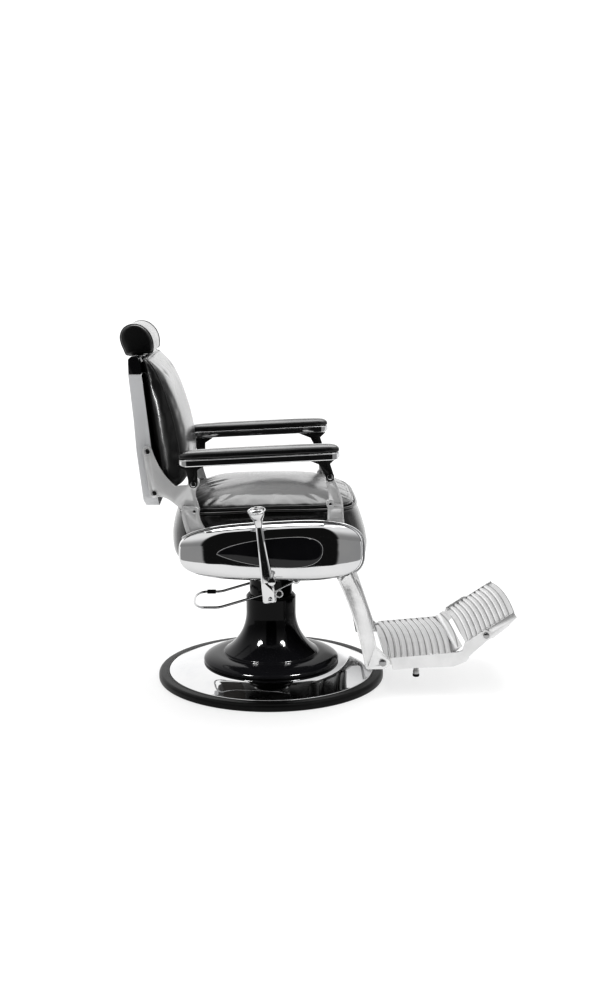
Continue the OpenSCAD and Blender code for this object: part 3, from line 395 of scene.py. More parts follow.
@dataclass(frozen=True)
class Stuffing:
    """How a pad swells under its cover.

    Args:
        cap: Furthest that a point moves, in millimetres.
        voxel: Size of the remeshed faces, in millimetres.
        pressure: Pressure inside the cover.
        grow: Share by which the cover is cut larger than the form, which makes its wrinkles.
        steps: Frames of simulation.
    """

    cap: float
    voxel: float = 6.0
    pressure: float = 4.0
    grow: float = 0.0
    steps: int = 18

    def fill(self, obj: bpy.types.Object, held: Callable[[Vector], float]) -> bpy.types.Object:
        """Swells a closed form as a sewn cover over foam.

        Args:
            obj: The form.
            held: Gives 1 for a point that is sewn or rests on something, and 0 for a free one.

        Returns:
            The same object with its final mesh.
        """
        mod = obj.modifiers.new("skin", "REMESH")
        mod.mode = "VOXEL"
        mod.voxel_size = self.voxel * MM
        finished(obj)
        self._swell(obj, held)
        bm = bmesh.new()
        bm.from_mesh(obj.data)
        for _ in range(2):
            bmesh.ops.smooth_vert(bm, verts=bm.verts, factor=0.5, use_axis_x=True,
                                  use_axis_y=True, use_axis_z=True)
        bm.to_mesh(obj.data)
        bm.free()
        return shade(subdivided(obj), 80)

    def _swell(self, obj: bpy.types.Object, held: Callable[[Vector], float]) -> None:
        """Swells the cover as cloth, and keeps each point within the cap."""
        rest = coords(obj)
        hold = np.array([held(Vector(p) / MM) for p in rest])
        group = obj.vertex_groups.new(name="held")
        for i, share in enumerate(hold):
            group.add([i], float(share), "REPLACE")
        cloth = obj.modifiers.new("cover", "CLOTH")
        for key, value in VINYL_CLOTH.items():
            setattr(cloth.settings, key, value)
        cloth.settings.uniform_pressure_force = self.pressure
        cloth.settings.effector_weights.gravity = 0
        cloth.settings.shrink_min = -self.grow
        cloth.collision_settings.use_collision = False
        cloth.collision_settings.use_self_collision = False
        scene = bpy.context.scene
        for step in range(1, self.steps + 1):
            scene.frame_set(step)
        finished(obj)
        shift = coords(obj) - rest
        far = np.linalg.norm(shift, axis=1, keepdims=True)
        cap = self.cap * MM * (1 - hold)[:, None]
        shift *= np.minimum(1.0, cap / np.maximum(far, 1e-9))
        obj.data.vertices.foreach_set("co", (rest + shift).ravel())
        obj.vertex_groups.clear()
        scene.frame_set(1)


class Surface:
    """Finds places on a finished cushion, for its seams and stitches."""

    stitch_pitch = 4.5
    stitch_lift = 0.25

    def __init__(self, obj: bpy.types.Object) -> None:
        """Reads the object's mesh."""
        self.tree = BVHTree.FromObject(obj, bpy.context.evaluated_depsgraph_get())

    def hug(self, path: Iterable[Sequence[float]], lift: float) -> list[Vector]:
        """Moves each point of a path, in millimetres, onto the surface and lifts it."""
        out = []
        for p in path:
            spot, normal, _, _ = self.tree.find_nearest(Vector(p) * MM)
            out.append(spot / MM + normal * lift)
        return out

    def piping(self, name: str, path: Sequence[Sequence[float]], radius: float,
               lift: float) -> bpy.types.Object:
        """Piping sewn along a closed path on the surface."""
        return sweep(name, self.hug(path, lift), radius, 10, True)

    def stitches(self, name: str, path: Sequence[Sequence[float]]) -> bpy.types.Object:
        """Row of stitches along a closed path on the surface."""
        line = self.hug(path, self.stitch_lift)
        verts: list[Vector] = []
        faces: list[tuple[int, ...]] = []
        left = 0.0
        for a, b in zip(line, line[1:] + line[:1]):
            span = (b - a).length
            at = left
            while at < span:
                self._stitch(verts, faces, a.lerp(b, at / span), (b - a).normalized())
                at += self.stitch_pitch
            left = at - span
        return solid(name, verts, faces, 60)

    def _stitch(self, verts: list[Vector], faces: list[tuple[int, ...]], at: Vector,
                along: Vector) -> None:
        """Adds one stitch, a short thread that dips at both ends."""
        side = along.cross(Vector((0, 0, 1)))
        if side.length < 0.1:
            side = along.cross(Vector((0, 1, 0)))
        side.normalize()
        up = side.cross(along)
        start = len(verts)
        for share, thick in ((-0.4, 0.12), (-0.25, 0.4), (0.25, 0.4), (0.4, 0.12)):
            centre = at + along * self.stitch_pitch * share
            for k in range(4):
                a = math.pi * k / 2
                verts.append(centre + thick * (math.cos(a) * side + math.sin(a) * up))
        for j in range(3):
            for k in range(4):
                a, b = start + 4 * j + k, start + 4 * j + (k + 1) % 4
                faces.append((a, b, b + 4, a + 4))
        faces += [tuple(start + k for k in range(4)), tuple(start + 12 + k for k in range(4))]


# ---- finishes -------------------------------------------------------------------------------


class Expr:
    """Shader socket that takes part in Python arithmetic."""

    def __init__(self, kit: NodeKit, socket: bpy.types.NodeSocket) -> None:
        """Wraps an output socket."""
        self.kit = kit
        self.socket = socket

    def _math(self, operation: str, *terms: Value) -> Expr:
        """Adds a Math node."""
        node = self.kit.add("ShaderNodeMath", {"operation": operation}, dict(enumerate(terms)))
        return Expr(self.kit, node.outputs[0])

    def __add__(self, other: Value) -> Expr:
        """Sum."""
        return self._math("ADD", self, other)

    __radd__ = __add__

    def __sub__(self, other: Value) -> Expr:
        """Difference."""
        return self._math("SUBTRACT", self, other)

    def __rsub__(self, other: Value) -> Expr:
        """Difference from a number."""
        return self._math("SUBTRACT", other, self)

    def __mul__(self, other: Value) -> Expr:
        """Product."""
        return self._math("MULTIPLY", self, other)

    __rmul__ = __mul__

    def __truediv__(self, other: Value) -> Expr:
        """Quotient."""
        return self._math("DIVIDE", self, other)

    def __pow__(self, other: Value) -> Expr:
        """Power."""
        return self._math("POWER", self, other)

    def fraction(self) -> Expr:
        """Part after the point."""
        return self._math("FRACT", self)

    def step(self, low: float, high: float) -> Expr:
        """Smooth step from 0 at low to 1 at high."""
        node = self.kit.add("ShaderNodeMapRange", {"interpolation_type": "SMOOTHSTEP"},
                            {"Value": self, "From Min": low, "From Max": high})
        return Expr(self.kit, node.outputs[0])


class NodeKit:
    """Adds nodes to one tree and links them."""

    def __init__(self, tree: bpy.types.NodeTree) -> None:
        """Starts an empty tree."""
        self.tree = tree
        tree.nodes.clear()

    def add(self, kind: str, settings: dict[str, object] | None = None,
            sockets: dict[str | int, object] | None = None) -> bpy.types.Node:
        """Adds a node.

        Args:
            kind: The node's type.
            settings: Properties to set first.
            sockets: Values or links of its inputs, by name or number.

        Returns:
            The node.
        """
        node = self.tree.nodes.new(kind)
        for key, value in (settings or {}).items():
            setattr(node, key, value)
        for key, value in (sockets or {}).items():
            target = node.inputs[key]
            if isinstance(value, Expr):
                self.tree.links.new(value.socket, target)
            elif isinstance(value, bpy.types.NodeSocket):
                self.tree.links.new(value, target)
            else:
                target.default_value = value
        return node

    def place(self) -> bpy.types.NodeSocket:
        """Position in the object's own frame, in metres."""
        return self.add("ShaderNodeTexCoord").outputs["Object"]

    def stretched(self, scale: P3) -> bpy.types.NodeSocket:
        """Position scaled along each axis."""
        node = self.add("ShaderNodeMapping", None, {"Vector": self.place(), "Scale": scale})
        return node.outputs[0]

    def noise(self, scale: float, detail: float = 3.0, rough: float = 0.5,
              at: bpy.types.NodeSocket | None = None) -> Expr:
        """Noise from 0 to 1."""
        node = self.add("ShaderNodeTexNoise", None, {
            "Vector": at or self.place(), "Scale": scale, "Detail": detail, "Roughness": rough})
        return Expr(self, node.outputs[0])

    def cells(self, scale: float, feature: str = "F1") -> Expr:
        """Distance in a field of cells."""
        node = self.add("ShaderNodeTexVoronoi", {"feature": feature},
                        {"Vector": self.place(), "Scale": scale})
        return Expr(self, node.outputs["Distance"])

    def axes(self, source: bpy.types.NodeSocket) -> tuple[Expr, Expr, Expr]:
        """X, Y and Z of a vector."""
        split = self.add("ShaderNodeSeparateXYZ", None, {0: source})
        x, y, z = (Expr(self, split.outputs[axis]) for axis in "XYZ")
        return x, y, z

    def blend(self, share: Value, a: Sequence[float], b: Sequence[float]) -> Expr:
        """Colour between a and b."""
        node = self.add("ShaderNodeMix", {"data_type": "RGBA"},
                        {0: share, 6: (*a, 1.0), 7: (*b, 1.0)})
        return Expr(self, node.outputs[2])

    def greys(self, share: Value, a: float, b: float) -> Expr:
        """Grey between a and b."""
        return self.blend(share, (a,) * 3, (b,) * 3)

    def grey(self, tone: Expr) -> Expr:
        """Grey of a worked-out tone."""
        node = self.add("ShaderNodeCombineColor", None, {0: tone, 1: tone, 2: tone})
        return Expr(self, node.outputs[0])

    def glow(self, strength: float) -> bpy.types.NodeSocket:
        """Shader that gives white light."""
        return self.add("ShaderNodeEmission", None, {0: WHITE, 1: strength}).outputs[0]

    def mixed(self, share: Expr | bpy.types.NodeSocket, a: bpy.types.NodeSocket,
              b: bpy.types.NodeSocket) -> bpy.types.NodeSocket:
        """Shader between a and b."""
        return self.add("ShaderNodeMixShader", None, {0: share, 1: a, 2: b}).outputs[0]

    def bump(self, height: Expr, distance: float, strength: float = 1.0,
             under: Expr | None = None) -> Expr:
        """Normal that follows a height, in metres, over another bump."""
        sockets = {"Height": height, "Distance": distance, "Strength": strength}
        if under is not None:
            sockets["Normal"] = under
        return Expr(self, self.add("ShaderNodeBump", None, sockets).outputs[0])


def blank_material(name: str) -> tuple[bpy.types.Material, NodeKit]:
    mat = bpy.data.materials.new(name)
    mat.use_nodes = True
    return mat, NodeKit(mat.node_tree)


class Finish:
    """A finish that makes its material once."""

    made: dict[str, bpy.types.Material] = {}

    def sockets(self, kit: NodeKit) -> dict[str, object]:
        """Inputs of the surface shader; each finish says its own."""
        raise NotImplementedError

    def material(self) -> bpy.types.Material:
        """The material, made at its first use."""
        key = repr(self)
        if key not in self.made:
            mat, kit = blank_material(type(self).__name__.lower())
            surface = kit.add("ShaderNodeBsdfPrincipled", None, self.sockets(kit))
            kit.add("ShaderNodeOutputMaterial", None, {"Surface": surface.outputs[0]})
            self.made[key] = mat
        return self.made[key]

    def dress(self, obj: bpy.types.Object) -> None:
        """Gives the object this finish only."""
        obj.data.materials.clear()
        obj.data.materials.append(self.material())


@dataclass(frozen=True)
class Chrome(Finish):
    """Bright chromium plate with faint polish marks."""

    tone: float = 0.66
    rough: float = 0.035

    def sockets(self, kit: NodeKit) -> dict[str, object]:
        """Inputs of the shader."""
        smear = kit.noise(9.0, 4.0, 0.62)
        wipe = kit.noise(120.0, 2.0, 0.5, kit.stretched((1.0, 1.0, 0.15)))
        return {
            "Metallic": 1.0,
            "Base Color": kit.blend(smear.step(0.35, 0.75), (self.tone,) * 3,
                                    (self.tone * 0.93, self.tone * 0.935, self.tone * 0.95)),
            "Roughness": smear.step(0.45, 0.8) * 0.05 + wipe * 0.015 + self.rough,
            "Normal": kit.bump(kit.noise(14.0, 1.0), 0.00012),
        }


@dataclass(frozen=True)
class SatinChrome(Finish):
    """Satin chromium plate of the posts and brackets, smoother where hands rub it."""

    tone: float = 0.72
    rough: float = 0.22

    def sockets(self, kit: NodeKit) -> dict[str, object]:
        """Inputs of the shader."""
        cloud = kit.noise(16.0, 4.0, 0.6)
        grain = kit.noise(900.0, 2.0)
        return {
            "Metallic": 0.35,
            "Base Color": kit.greys(cloud.step(0.3, 0.75), self.tone, self.tone * 0.9),
            "Roughness": cloud.step(0.3, 0.8) * 0.1 + grain * 0.06 + self.rough - 0.06,
            "Normal": kit.bump(grain, 0.00003, 0.6, kit.bump(cloud, 0.0003)),
        }


@dataclass(frozen=True)
class SatinSilver(Finish):
    """Silver paint with a satin sheen on the back's shell."""

    def sockets(self, kit: NodeKit) -> dict[str, object]:
        """Inputs of the shader."""
        flake = kit.noise(1600.0, 1.0)
        cloud = kit.noise(5.0, 3.0)
        return {
            "Metallic": 0.1,
            "Base Color": kit.blend(cloud.step(0.3, 0.7), (0.64, 0.645, 0.655),
                                    (0.58, 0.585, 0.595)),
            "Roughness": flake * 0.1 + cloud * 0.06 + 0.27,
            "Normal": kit.bump(flake, 0.00003),
        }


@dataclass(frozen=True)
class CastAluminium(Finish):
    """Polished casting with soft waves and fine pores."""

    rough: float = 0.3
    tone: float = 0.82

    def sockets(self, kit: NodeKit) -> dict[str, object]:
        """Inputs of the shader."""
        wave = kit.noise(26.0, 3.0, 0.6)
        pores = kit.cells(700.0).step(0.0, 0.22)
        return {
            "Metallic": 0.7,
            "Base Color": self.colour(kit, wave.step(0.3, 0.75)),
            "Roughness": wave * 0.14 + kit.noise(300.0, 2.0) * 0.05 + self.rough - 0.06,
            "Normal": kit.bump(pores, 0.00002, 0.5, kit.bump(wave, 0.0004)),
        }

    def colour(self, kit: NodeKit, cloud: Expr) -> Expr:
        """Colour of the casting, a little darker where cloud is 1."""
        return kit.greys(cloud, self.tone, self.tone * 0.93)


@dataclass(frozen=True)
class RibbedCasting(CastAluminium):
    """Cast deck with painted shade: darker on its upward faces, and darkest in the hollows between
    the ribs.

    Args:
        start: Start of the deck in X and Z, in metres.
        slope: Slope of the deck, in degrees.
        first: Distance from the start to the first rib, in metres.
        pitch: Pitch of the ribs, in metres.
        bow: Bow of the ribs across half the width, in metres.
        half: Half of the deck's width, in metres.
        shade: How much painted shade darkens the deck's upward faces against its skirts.
    """

    start: P2 = (0.0, 0.0)
    slope: float = 0.0
    first: float = 0.022
    pitch: float = 0.019
    bow: float = 0.012
    half: float = 0.2
    shade: float = 0.44

    def colour(self, kit: NodeKit, cloud: Expr) -> Expr:
        """Colour of the casting, with painted shade: darker on the deck's upward faces and darkest
        in the hollows between its ribs.
        """
        x, y, z = kit.axes(kit.place())
        turn = math.radians(self.slope)
        length = (x - self.start[0]) * math.cos(turn) + (z - self.start[1]) * math.sin(turn)
        length = length + (y * y / self.half**2 - 0.5) * self.bow
        phase = ((length - self.first) / self.pitch + 40.5).fraction() - 0.5
        upward = kit.axes(kit.add("ShaderNodeTexCoord").outputs["Normal"])[2].step(0.5, 0.75)
        # painted shade in the hollows between the ribs, on upward faces only
        painted_hollow_shade = (phase * phase).step(0.12, 0.22) * upward
        # painted shade that darkens the deck's upward faces
        shaded_deck_tone = self.tone * (1 - upward * self.shade)
        return kit.grey((1 - painted_hollow_shade * 0.66) * (1 - cloud * 0.06) * shaded_deck_tone)


@dataclass(frozen=True)
class BrushedSteel(Finish):
    """Bare steel with fine drawn lines."""

    tone: float = 0.5

    def sockets(self, kit: NodeKit) -> dict[str, object]:
        """Inputs of the shader."""
        lines = kit.noise(60.0, 3.0, 0.6, kit.stretched((40.0, 1.0, 40.0)))
        stain = kit.noise(12.0, 4.0)
        return {
            "Metallic": 1.0,
            "Base Color": kit.greys(stain.step(0.35, 0.7), self.tone, self.tone * 0.8),
            "Roughness": lines * 0.18 + 0.24,
            "Normal": kit.bump(lines, 0.00004),
        }


@dataclass(frozen=True)
class Enamel(Finish):
    """Stoved black enamel, with a trace of orange peel."""

    def sockets(self, kit: NodeKit) -> dict[str, object]:
        """Inputs of the shader."""
        peel = kit.noise(220.0, 1.0)
        dust = kit.noise(1500.0, 1.0).step(0.72, 0.78)
        haze = kit.noise(11.0, 4.0)
        return {
            "Base Color": kit.blend(dust, (0.0012, 0.0012, 0.0014), (0.012, 0.012, 0.013)),
            "Roughness": haze.step(0.3, 0.8) * 0.06 + 0.06,
            "Specular IOR Level": 0.16,
            "Normal": kit.bump(peel, 0.00004),
        }


@dataclass(frozen=True)
class BlackPaint(Finish):
    """Semi-gloss black paint on struts and hidden frames, worn at its high spots."""

    tone: float = 0.006
    rough: float = 0.26

    def sockets(self, kit: NodeKit) -> dict[str, object]:
        """Inputs of the shader."""
        grain = kit.noise(420.0, 3.0)
        haze = kit.noise(18.0, 4.0)
        return {
            "Base Color": kit.greys(haze.step(0.4, 0.8), self.tone, self.tone * 2.2),
            "Roughness": haze * 0.16 + self.rough - 0.06,
            "Normal": kit.bump(grain, 0.00005),
        }


@dataclass(frozen=True)
class GlossInlay(Finish):
    """Deep gloss black of the inlays and the armrests' bands."""

    def sockets(self, kit: NodeKit) -> dict[str, object]:
        """Inputs of the shader."""
        haze = kit.noise(25.0, 3.0)
        return {
            "Base Color": kit.blend(haze, (0.004, 0.004, 0.005), (0.009, 0.009, 0.01)),
            "Roughness": haze.step(0.4, 0.9) * 0.06 + 0.05,
            "Specular IOR Level": 0.4,
        }


@dataclass(frozen=True)
class Vinyl(Finish):
    """Black upholstery vinyl with a pressed grain and soft creases.

    Args:
        tone: Grey of the cover.
        rough: Roughness of its sheen.
        crease: Height of its creases, in metres.
    """

    tone: float = 0.004
    rough: float = 0.28
    crease: float = 0.0006

    def sockets(self, kit: NodeKit) -> dict[str, object]:
        """Inputs of the shader."""
        grain = kit.cells(640.0, "DISTANCE_TO_EDGE").step(0.0, 0.16)
        fine = kit.noise(1500.0, 2.0)
        folds = kit.noise(11.0, 3.0, 0.55)
        worn = kit.noise(5.0, 3.0).step(0.4, 0.75)
        pressed = kit.bump(grain * 0.7 + fine * 0.3, 0.00007, 0.55,
                           kit.bump(folds, self.crease, 0.6))
        return {
            "Base Color": kit.blend(worn * 0.6 + grain * 0.2, (self.tone * 0.8,) * 3,
                                    (self.tone * 1.7, self.tone * 1.7, self.tone * 1.75)),
            "Roughness": worn * 0.07 + (1 - grain) * 0.08 + self.rough,
            "Specular IOR Level": 0.5,
            "Coat Weight": 0.6,
            "Coat Roughness": 0.16,
            "Normal": pressed,
        }


@dataclass(frozen=True)
class Thread(Finish):
    """Black sewing thread."""

    def sockets(self, kit: NodeKit) -> dict[str, object]:
        """Inputs of the shader."""
        twist = kit.noise(2400.0, 1.0)
        return {
            "Base Color": kit.greys(twist, 0.01, 0.035),
            "Roughness": twist * 0.2 + 0.5,
            "Normal": kit.bump(twist, 0.0001),
        }


@dataclass(frozen=True)
class Rubber(Finish):
    """Moulded black rubber."""

    def sockets(self, kit: NodeKit) -> dict[str, object]:
        """Inputs of the shader."""
        speck = kit.noise(900.0, 2.0)
        scuff = kit.noise(16.0, 5.0, 0.65).step(0.5, 0.8)
        return {
            "Base Color": kit.greys(scuff, 0.006, 0.016),
            "Roughness": scuff * 0.14 + 0.34,
            "Specular IOR Level": 0.14,
            "Normal": kit.bump(speck, 0.00004),
        }


@dataclass(frozen=True)
class Plywood(Finish):
    """Plywood stained black, with its long grain."""

    def sockets(self, kit: NodeKit) -> dict[str, object]:
        """Inputs of the shader."""
        grain = kit.noise(8.0, 5.0, 0.6, kit.stretched((2.0, 22.0, 60.0)))
        return {
            "Base Color": kit.blend(grain.step(0.3, 0.7), (0.03, 0.026, 0.022),
                                    (0.012, 0.01, 0.009)),
            "Roughness": grain * 0.2 + 0.5,
            "Normal": kit.bump(grain, 0.0003),
        }


class Slot(Enum):
    """The record's material slots, each with the finish that its nodes wear."""

    RUBBER = ("rubber", Rubber())
    CHROME = ("chrome", Chrome())
    ENAMEL = ("black_enamel", Enamel())
    STEEL = ("steel", BrushedSteel())
    VINYL = ("vinyl", Vinyl())
    GLOSS = ("gloss_black", GlossInlay())
    SILVER = ("satin_silver", SatinSilver())
    ALUMINIUM = ("cast_aluminium", CastAluminium())
    DARK = ("dark_steel", BlackPaint())
    PLYWOOD = ("plywood", Plywood())

    @property
    def key(self) -> str:
        """Name of the slot in the record."""
        return self.value[0]

    @property
    def finish(self) -> Finish:
        """Finish of the slot."""
        return self.value[1]


def place(obj: bpy.types.Object, body: str, slot: Slot, stands_for: Sequence[str] = (),
          finish: Finish | None = None, fill: float | None = None) -> bpy.types.Object:
    """Dresses a piece, sets it on its body and reports it.

    Args:
        obj: The piece.
        body: CAD body that it moves with.
        slot: The record's slot that its finish comes from.
        stands_for: CAD nodes that it is shown in place of.
        finish: Another finish than the slot's own.
        fill: How tight it is, where it is padded; not used.

    Returns:
        The piece.
    """
    (finish or slot.finish).dress(obj)
    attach(obj, body)
    slot.key
    if stands_for:
        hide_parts(*stands_for)
    log.info("%s rides on %s, %d faces", obj.name, body, len(obj.data.polygons))
    return obj


def place_pair(obj: bpy.types.Object, stem: str, body: str, slot: Slot,
               stands_for: str | None = None, finish: Finish | None = None,
               fill: float | None = None) -> None:
    """Places a piece on the right and its mirror image on the left.

    Args:
        obj: The right piece.
        stem: Name of both pieces, without their side.
        body: CAD body that they move with.
        slot: The record's slot.
        stands_for: Stem of the pair of CAD nodes that they replace.
        finish: Another finish than the slot's own.
        fill: How tight they are, where they are padded; passed to place, which does not use it.
    """
    obj.name = f"{stem}_right"
    twin = mirrored(obj, f"{stem}_left")
    for side, piece in (("right", obj), ("left", twin)):
        nodes = [f"{stands_for}_{side}"] if stands_for else []
        place(piece, body, slot, nodes, finish, fill)


# ---- base and column ------------------------------------------------------------------------


@dataclass
class Base:
    """Round base: chromed dish, rubber rim and black pedestal."""

    rim_r: float = 350.0
    plate_r: float = 318.0
    plate_t: float = 10.0
    rim_h: float = 24.0
    dish_h: float = 50.0
    dish_t: float = 3.0
    hub_r: float = 110.0
    flange_r: float = 210.0
    bell_r: float = 145.0
    bell_h: float = 84.0
    neck_r: float = 77.0
    neck_h: float = 257.0
    bore_r: float = 70.0
    flare_h: float = 121.0

    def build(self) -> None:
        """Makes the base."""
        place(self.dish(), "base", Slot.CHROME, ["base_dish"], Chrome(rough=0.02))
        place(self.rim(), "base", Slot.RUBBER, ["base_rim"])
        place(self.pedestal(), "base", Slot.ENAMEL, ["pedestal"])
        place(self.seal(), "base", Slot.RUBBER, ["neck_seal"])

    def dish_z(self, r: float) -> float:
        """Height of the dish's top at a radius."""
        share = (self.plate_r - r) / (self.plate_r - self.flange_r)
        return self.rim_h + (self.dish_h - self.rim_h) * math.sin(math.pi / 2 * share)

    def dish(self) -> bpy.types.Object:
        """Spun dish with a rolled edge."""
        top = self.plate_r - 2.5
        radii = [top - (top - self.flange_r) * i / 28 for i in range(29)]
        outer = [(r, self.dish_z(r)) for r in radii]
        inner = [(r, self.dish_z(r) - self.dish_t) for r in reversed(radii[1:])]
        lip = arc((top, self.dish_z(top) - 2), 2, 0, 90, 5)
        return lathe("dish", [(top - 1, self.plate_t), (top + 2, self.plate_t), *lip, *outer[1:],
                              (self.hub_r + 0.3, self.dish_h),
                              (self.hub_r + 0.3, self.dish_h - self.dish_t), *inner], None, 192)

    def rim(self) -> bpy.types.Object:
        """Rubber rim with rounded shoulders and a shallow groove."""
        r, h, p = self.rim_r, self.rim_h, self.plate_r
        profile = [(p, 0.0), (r - 5, 0.0), *arc((r - 5, 5), 5, -90, 0, 5),
                   *arc((r - 11, h - 11), 11, 0, 70, 8), (r - 10, h - 0.4), (p + 8, h - 0.2),
                   (p + 7, h - 0.9), (p + 6, h - 0.2), *arc((p + 3, h - 3), 3, 90, 180, 5)]
        return lathe("rubber_rim", profile, None, 192)

    def pedestal(self) -> bpy.types.Object:
        """Cast pedestal: flange with a double lip, round bell, flared neck."""
        f, b, top = self.flange_r, self.bell_r, self.dish_h
        width = b - 2 - self.neck_r
        turn = 2 * math.atan(width / self.flare_h)
        flare_r = self.flare_h / math.sin(turn)
        centre = (self.neck_r + flare_r, self.bell_h + self.flare_h)
        profile = [
            (self.bore_r, self.plate_t), (self.hub_r, self.plate_t), (self.hub_r, top + 0.3),
            *arc((f - 3, top + 3.3), 3, -90, 0, 5), *arc((f - 8, top + 6), 8, 0, 62, 9),
            *bezier((f - 4.2, top + 13.1), (f - 9, top + 18), (f - 22, top + 22.5),
                    (f - 38, top + 24.5), 10),
            *bezier((f - 38, top + 24.5), (f - 50, top + 25.8), (b + 10, top + 25.2),
                    (b + 4, top + 25.8), 6),
            *bezier((b + 4, top + 25.8), (b + 1, top + 26.2), (b + 0.2, top + 27.4),
                    (b + 0.2, top + 29.6), 5),
            *arc((b - 3.4, self.bell_h - 3.2), 3.6, 0, 62, 7),
            *arc(centre, flare_r, 180 + math.degrees(turn) - 1.2, 180, 30),
            (self.neck_r, self.neck_h - 4), *arc((self.neck_r - 3, self.neck_h - 3), 3, 0, 90, 5),
            (self.bore_r, self.neck_h),
        ]
        return lathe("pedestal_casting", profile, None, 192, 50)

    def seal(self) -> bpy.types.Object:
        """Rubber wiper round the column tube."""
        h, r = self.neck_h, self.neck_r
        return lathe("neck_wiper", [(66.2, h + 0.1), (r - 4, h + 0.1),
                                    *arc((r - 6.5, h + 2.5), 2.2, 0, 60, 4),
                                    (69.5, h + 5), (66.2, h + 5)], None, 128)


# ---- seat -----------------------------------------------------------------------------------


@dataclass
class Seat:
    """Upholstered seat: padded box, welt and crowned top cushion."""

    back_x: float = -294.0
    front_x: float = 288.0
    half: float = 256.0
    seat_z: float = 410.0
    box_h: float = 150.0
    cushion_h: float = 74.0
    seam_h: float = 12.0

    def build(self) -> None:
        """Makes the seat's soft parts."""
        box = self.box()
        place(box, "seat", Slot.VINYL, ["seat_base"], Vinyl(rough=0.22), 0.9)
        welt = sweep("lower_welt", self.ring(self.welt_z + 0.75, 21.5, 35.5, 1.5, 0.42), 4.2, 12,
                     True)
        place(welt, "seat", Slot.VINYL, ["seat_welt"])
        cushion = self.cushion()
        place(cushion, "seat", Slot.VINYL, ["seat_cushion"], Vinyl(rough=0.26), 0.85)
        skin = Surface(cushion)
        seam = self.ring(self.welt_z + 1.5 + self.seam_h, 29, 44, 2, 0.5)
        place(skin.piping("top_seam_piping", seam, 1.9, 0.4), "seat", Slot.VINYL)
        row = self.ring(self.welt_z + 1.5 + self.seam_h + 7, 40, 56, 6, 0.5)
        place(skin.stitches("top_seam_stitches", row), "seat", Slot.VINYL, (), Thread())

    @property
    def welt_z(self) -> float:
        """Height of the welt."""
        return self.seat_z + self.box_h

    def ring(self, z: float, rear: float, front: float, cut: float, power: float) -> list[P3]:
        """Ring of the seat, drawn in at its rear, its front and its sides."""
        flat = soft_ring(z, self.back_x + rear, self.front_x - front, self.half - cut, power, 96)
        near = ramp(z, self.seat_z + 70, self.welt_z)
        if z > self.welt_z:
            near = 1 - ramp(z, self.welt_z + 12, self.welt_z + 62)
        return [(x, y, z + near * self.rise(x)) for x, y, z in flat]

    @staticmethod
    def rise(x: float) -> float:
        """How far the seams stand over their level, more to the front."""
        return min(11.0, max(0.0, 5 + 0.05 * (x + 119)))

    def box(self) -> bpy.types.Object:
        """Padded box under the welt."""
        steps = [(0, 22, 12, 14), (3, 17, 7, 12), (9, 10, 3, 10), (24, 4, 1, 9), (45, 1, 0, 8),
                 (80, 1, 7, 7), (115, 8, 20, 4), (136, 14, 29, 1), (143, 18, 33, 1),
                 (147, 22, 36, 3), (150, 27, 41, 8)]
        obj = loft("seat_box_cover", [self.ring(self.seat_z + z, rear, front, cut, 0.42)
                                      for z, rear, front, cut in steps])
        low, high = self.seat_z + 6, self.welt_z - 5
        return Stuffing(cap=2.5, voxel=6, pressure=2).fill(
            obj, lambda p: 1.0 if p.z < low or p.z > high else 0.0)

    def cushion(self) -> bpy.types.Object:
        """Crowned top cushion, drawn in at the welt."""
        steps = [(0, 27, 41, 7), (2, 25, 39, 5), (5, 22, 36, 1), (11, 26, 40, 1), (26, 42, 57, 6),
                 (41, 66, 81, 20), (55, 106, 110, 46), (66, 156, 140, 82), (75, 206, 174, 128),
                 (80, 250, 206, 178), (82.5, 290, 238, 222)]
        scale = (self.cushion_h - 9) / 84
        obj = loft("seat_cushion_cover", [
            self.ring(self.welt_z + 1.5 + z * scale, rear, front, cut + 1, 0.5)
            for z, rear, front, cut in steps])
        low = self.welt_z + 5
        seam = self.welt_z + 1.5 + self.seam_h

        def held(p: Vector) -> float:
            """Sewn at the welt, and half held along the top seam."""
            level = p.z - self.rise(p.x)
            if level < low:
                return 1.0
            return 0.55 * max(0.0, 1 - abs(level - seam) / 6)

        return Stuffing(cap=3.5, voxel=6, pressure=4, grow=0.004).fill(obj, held)


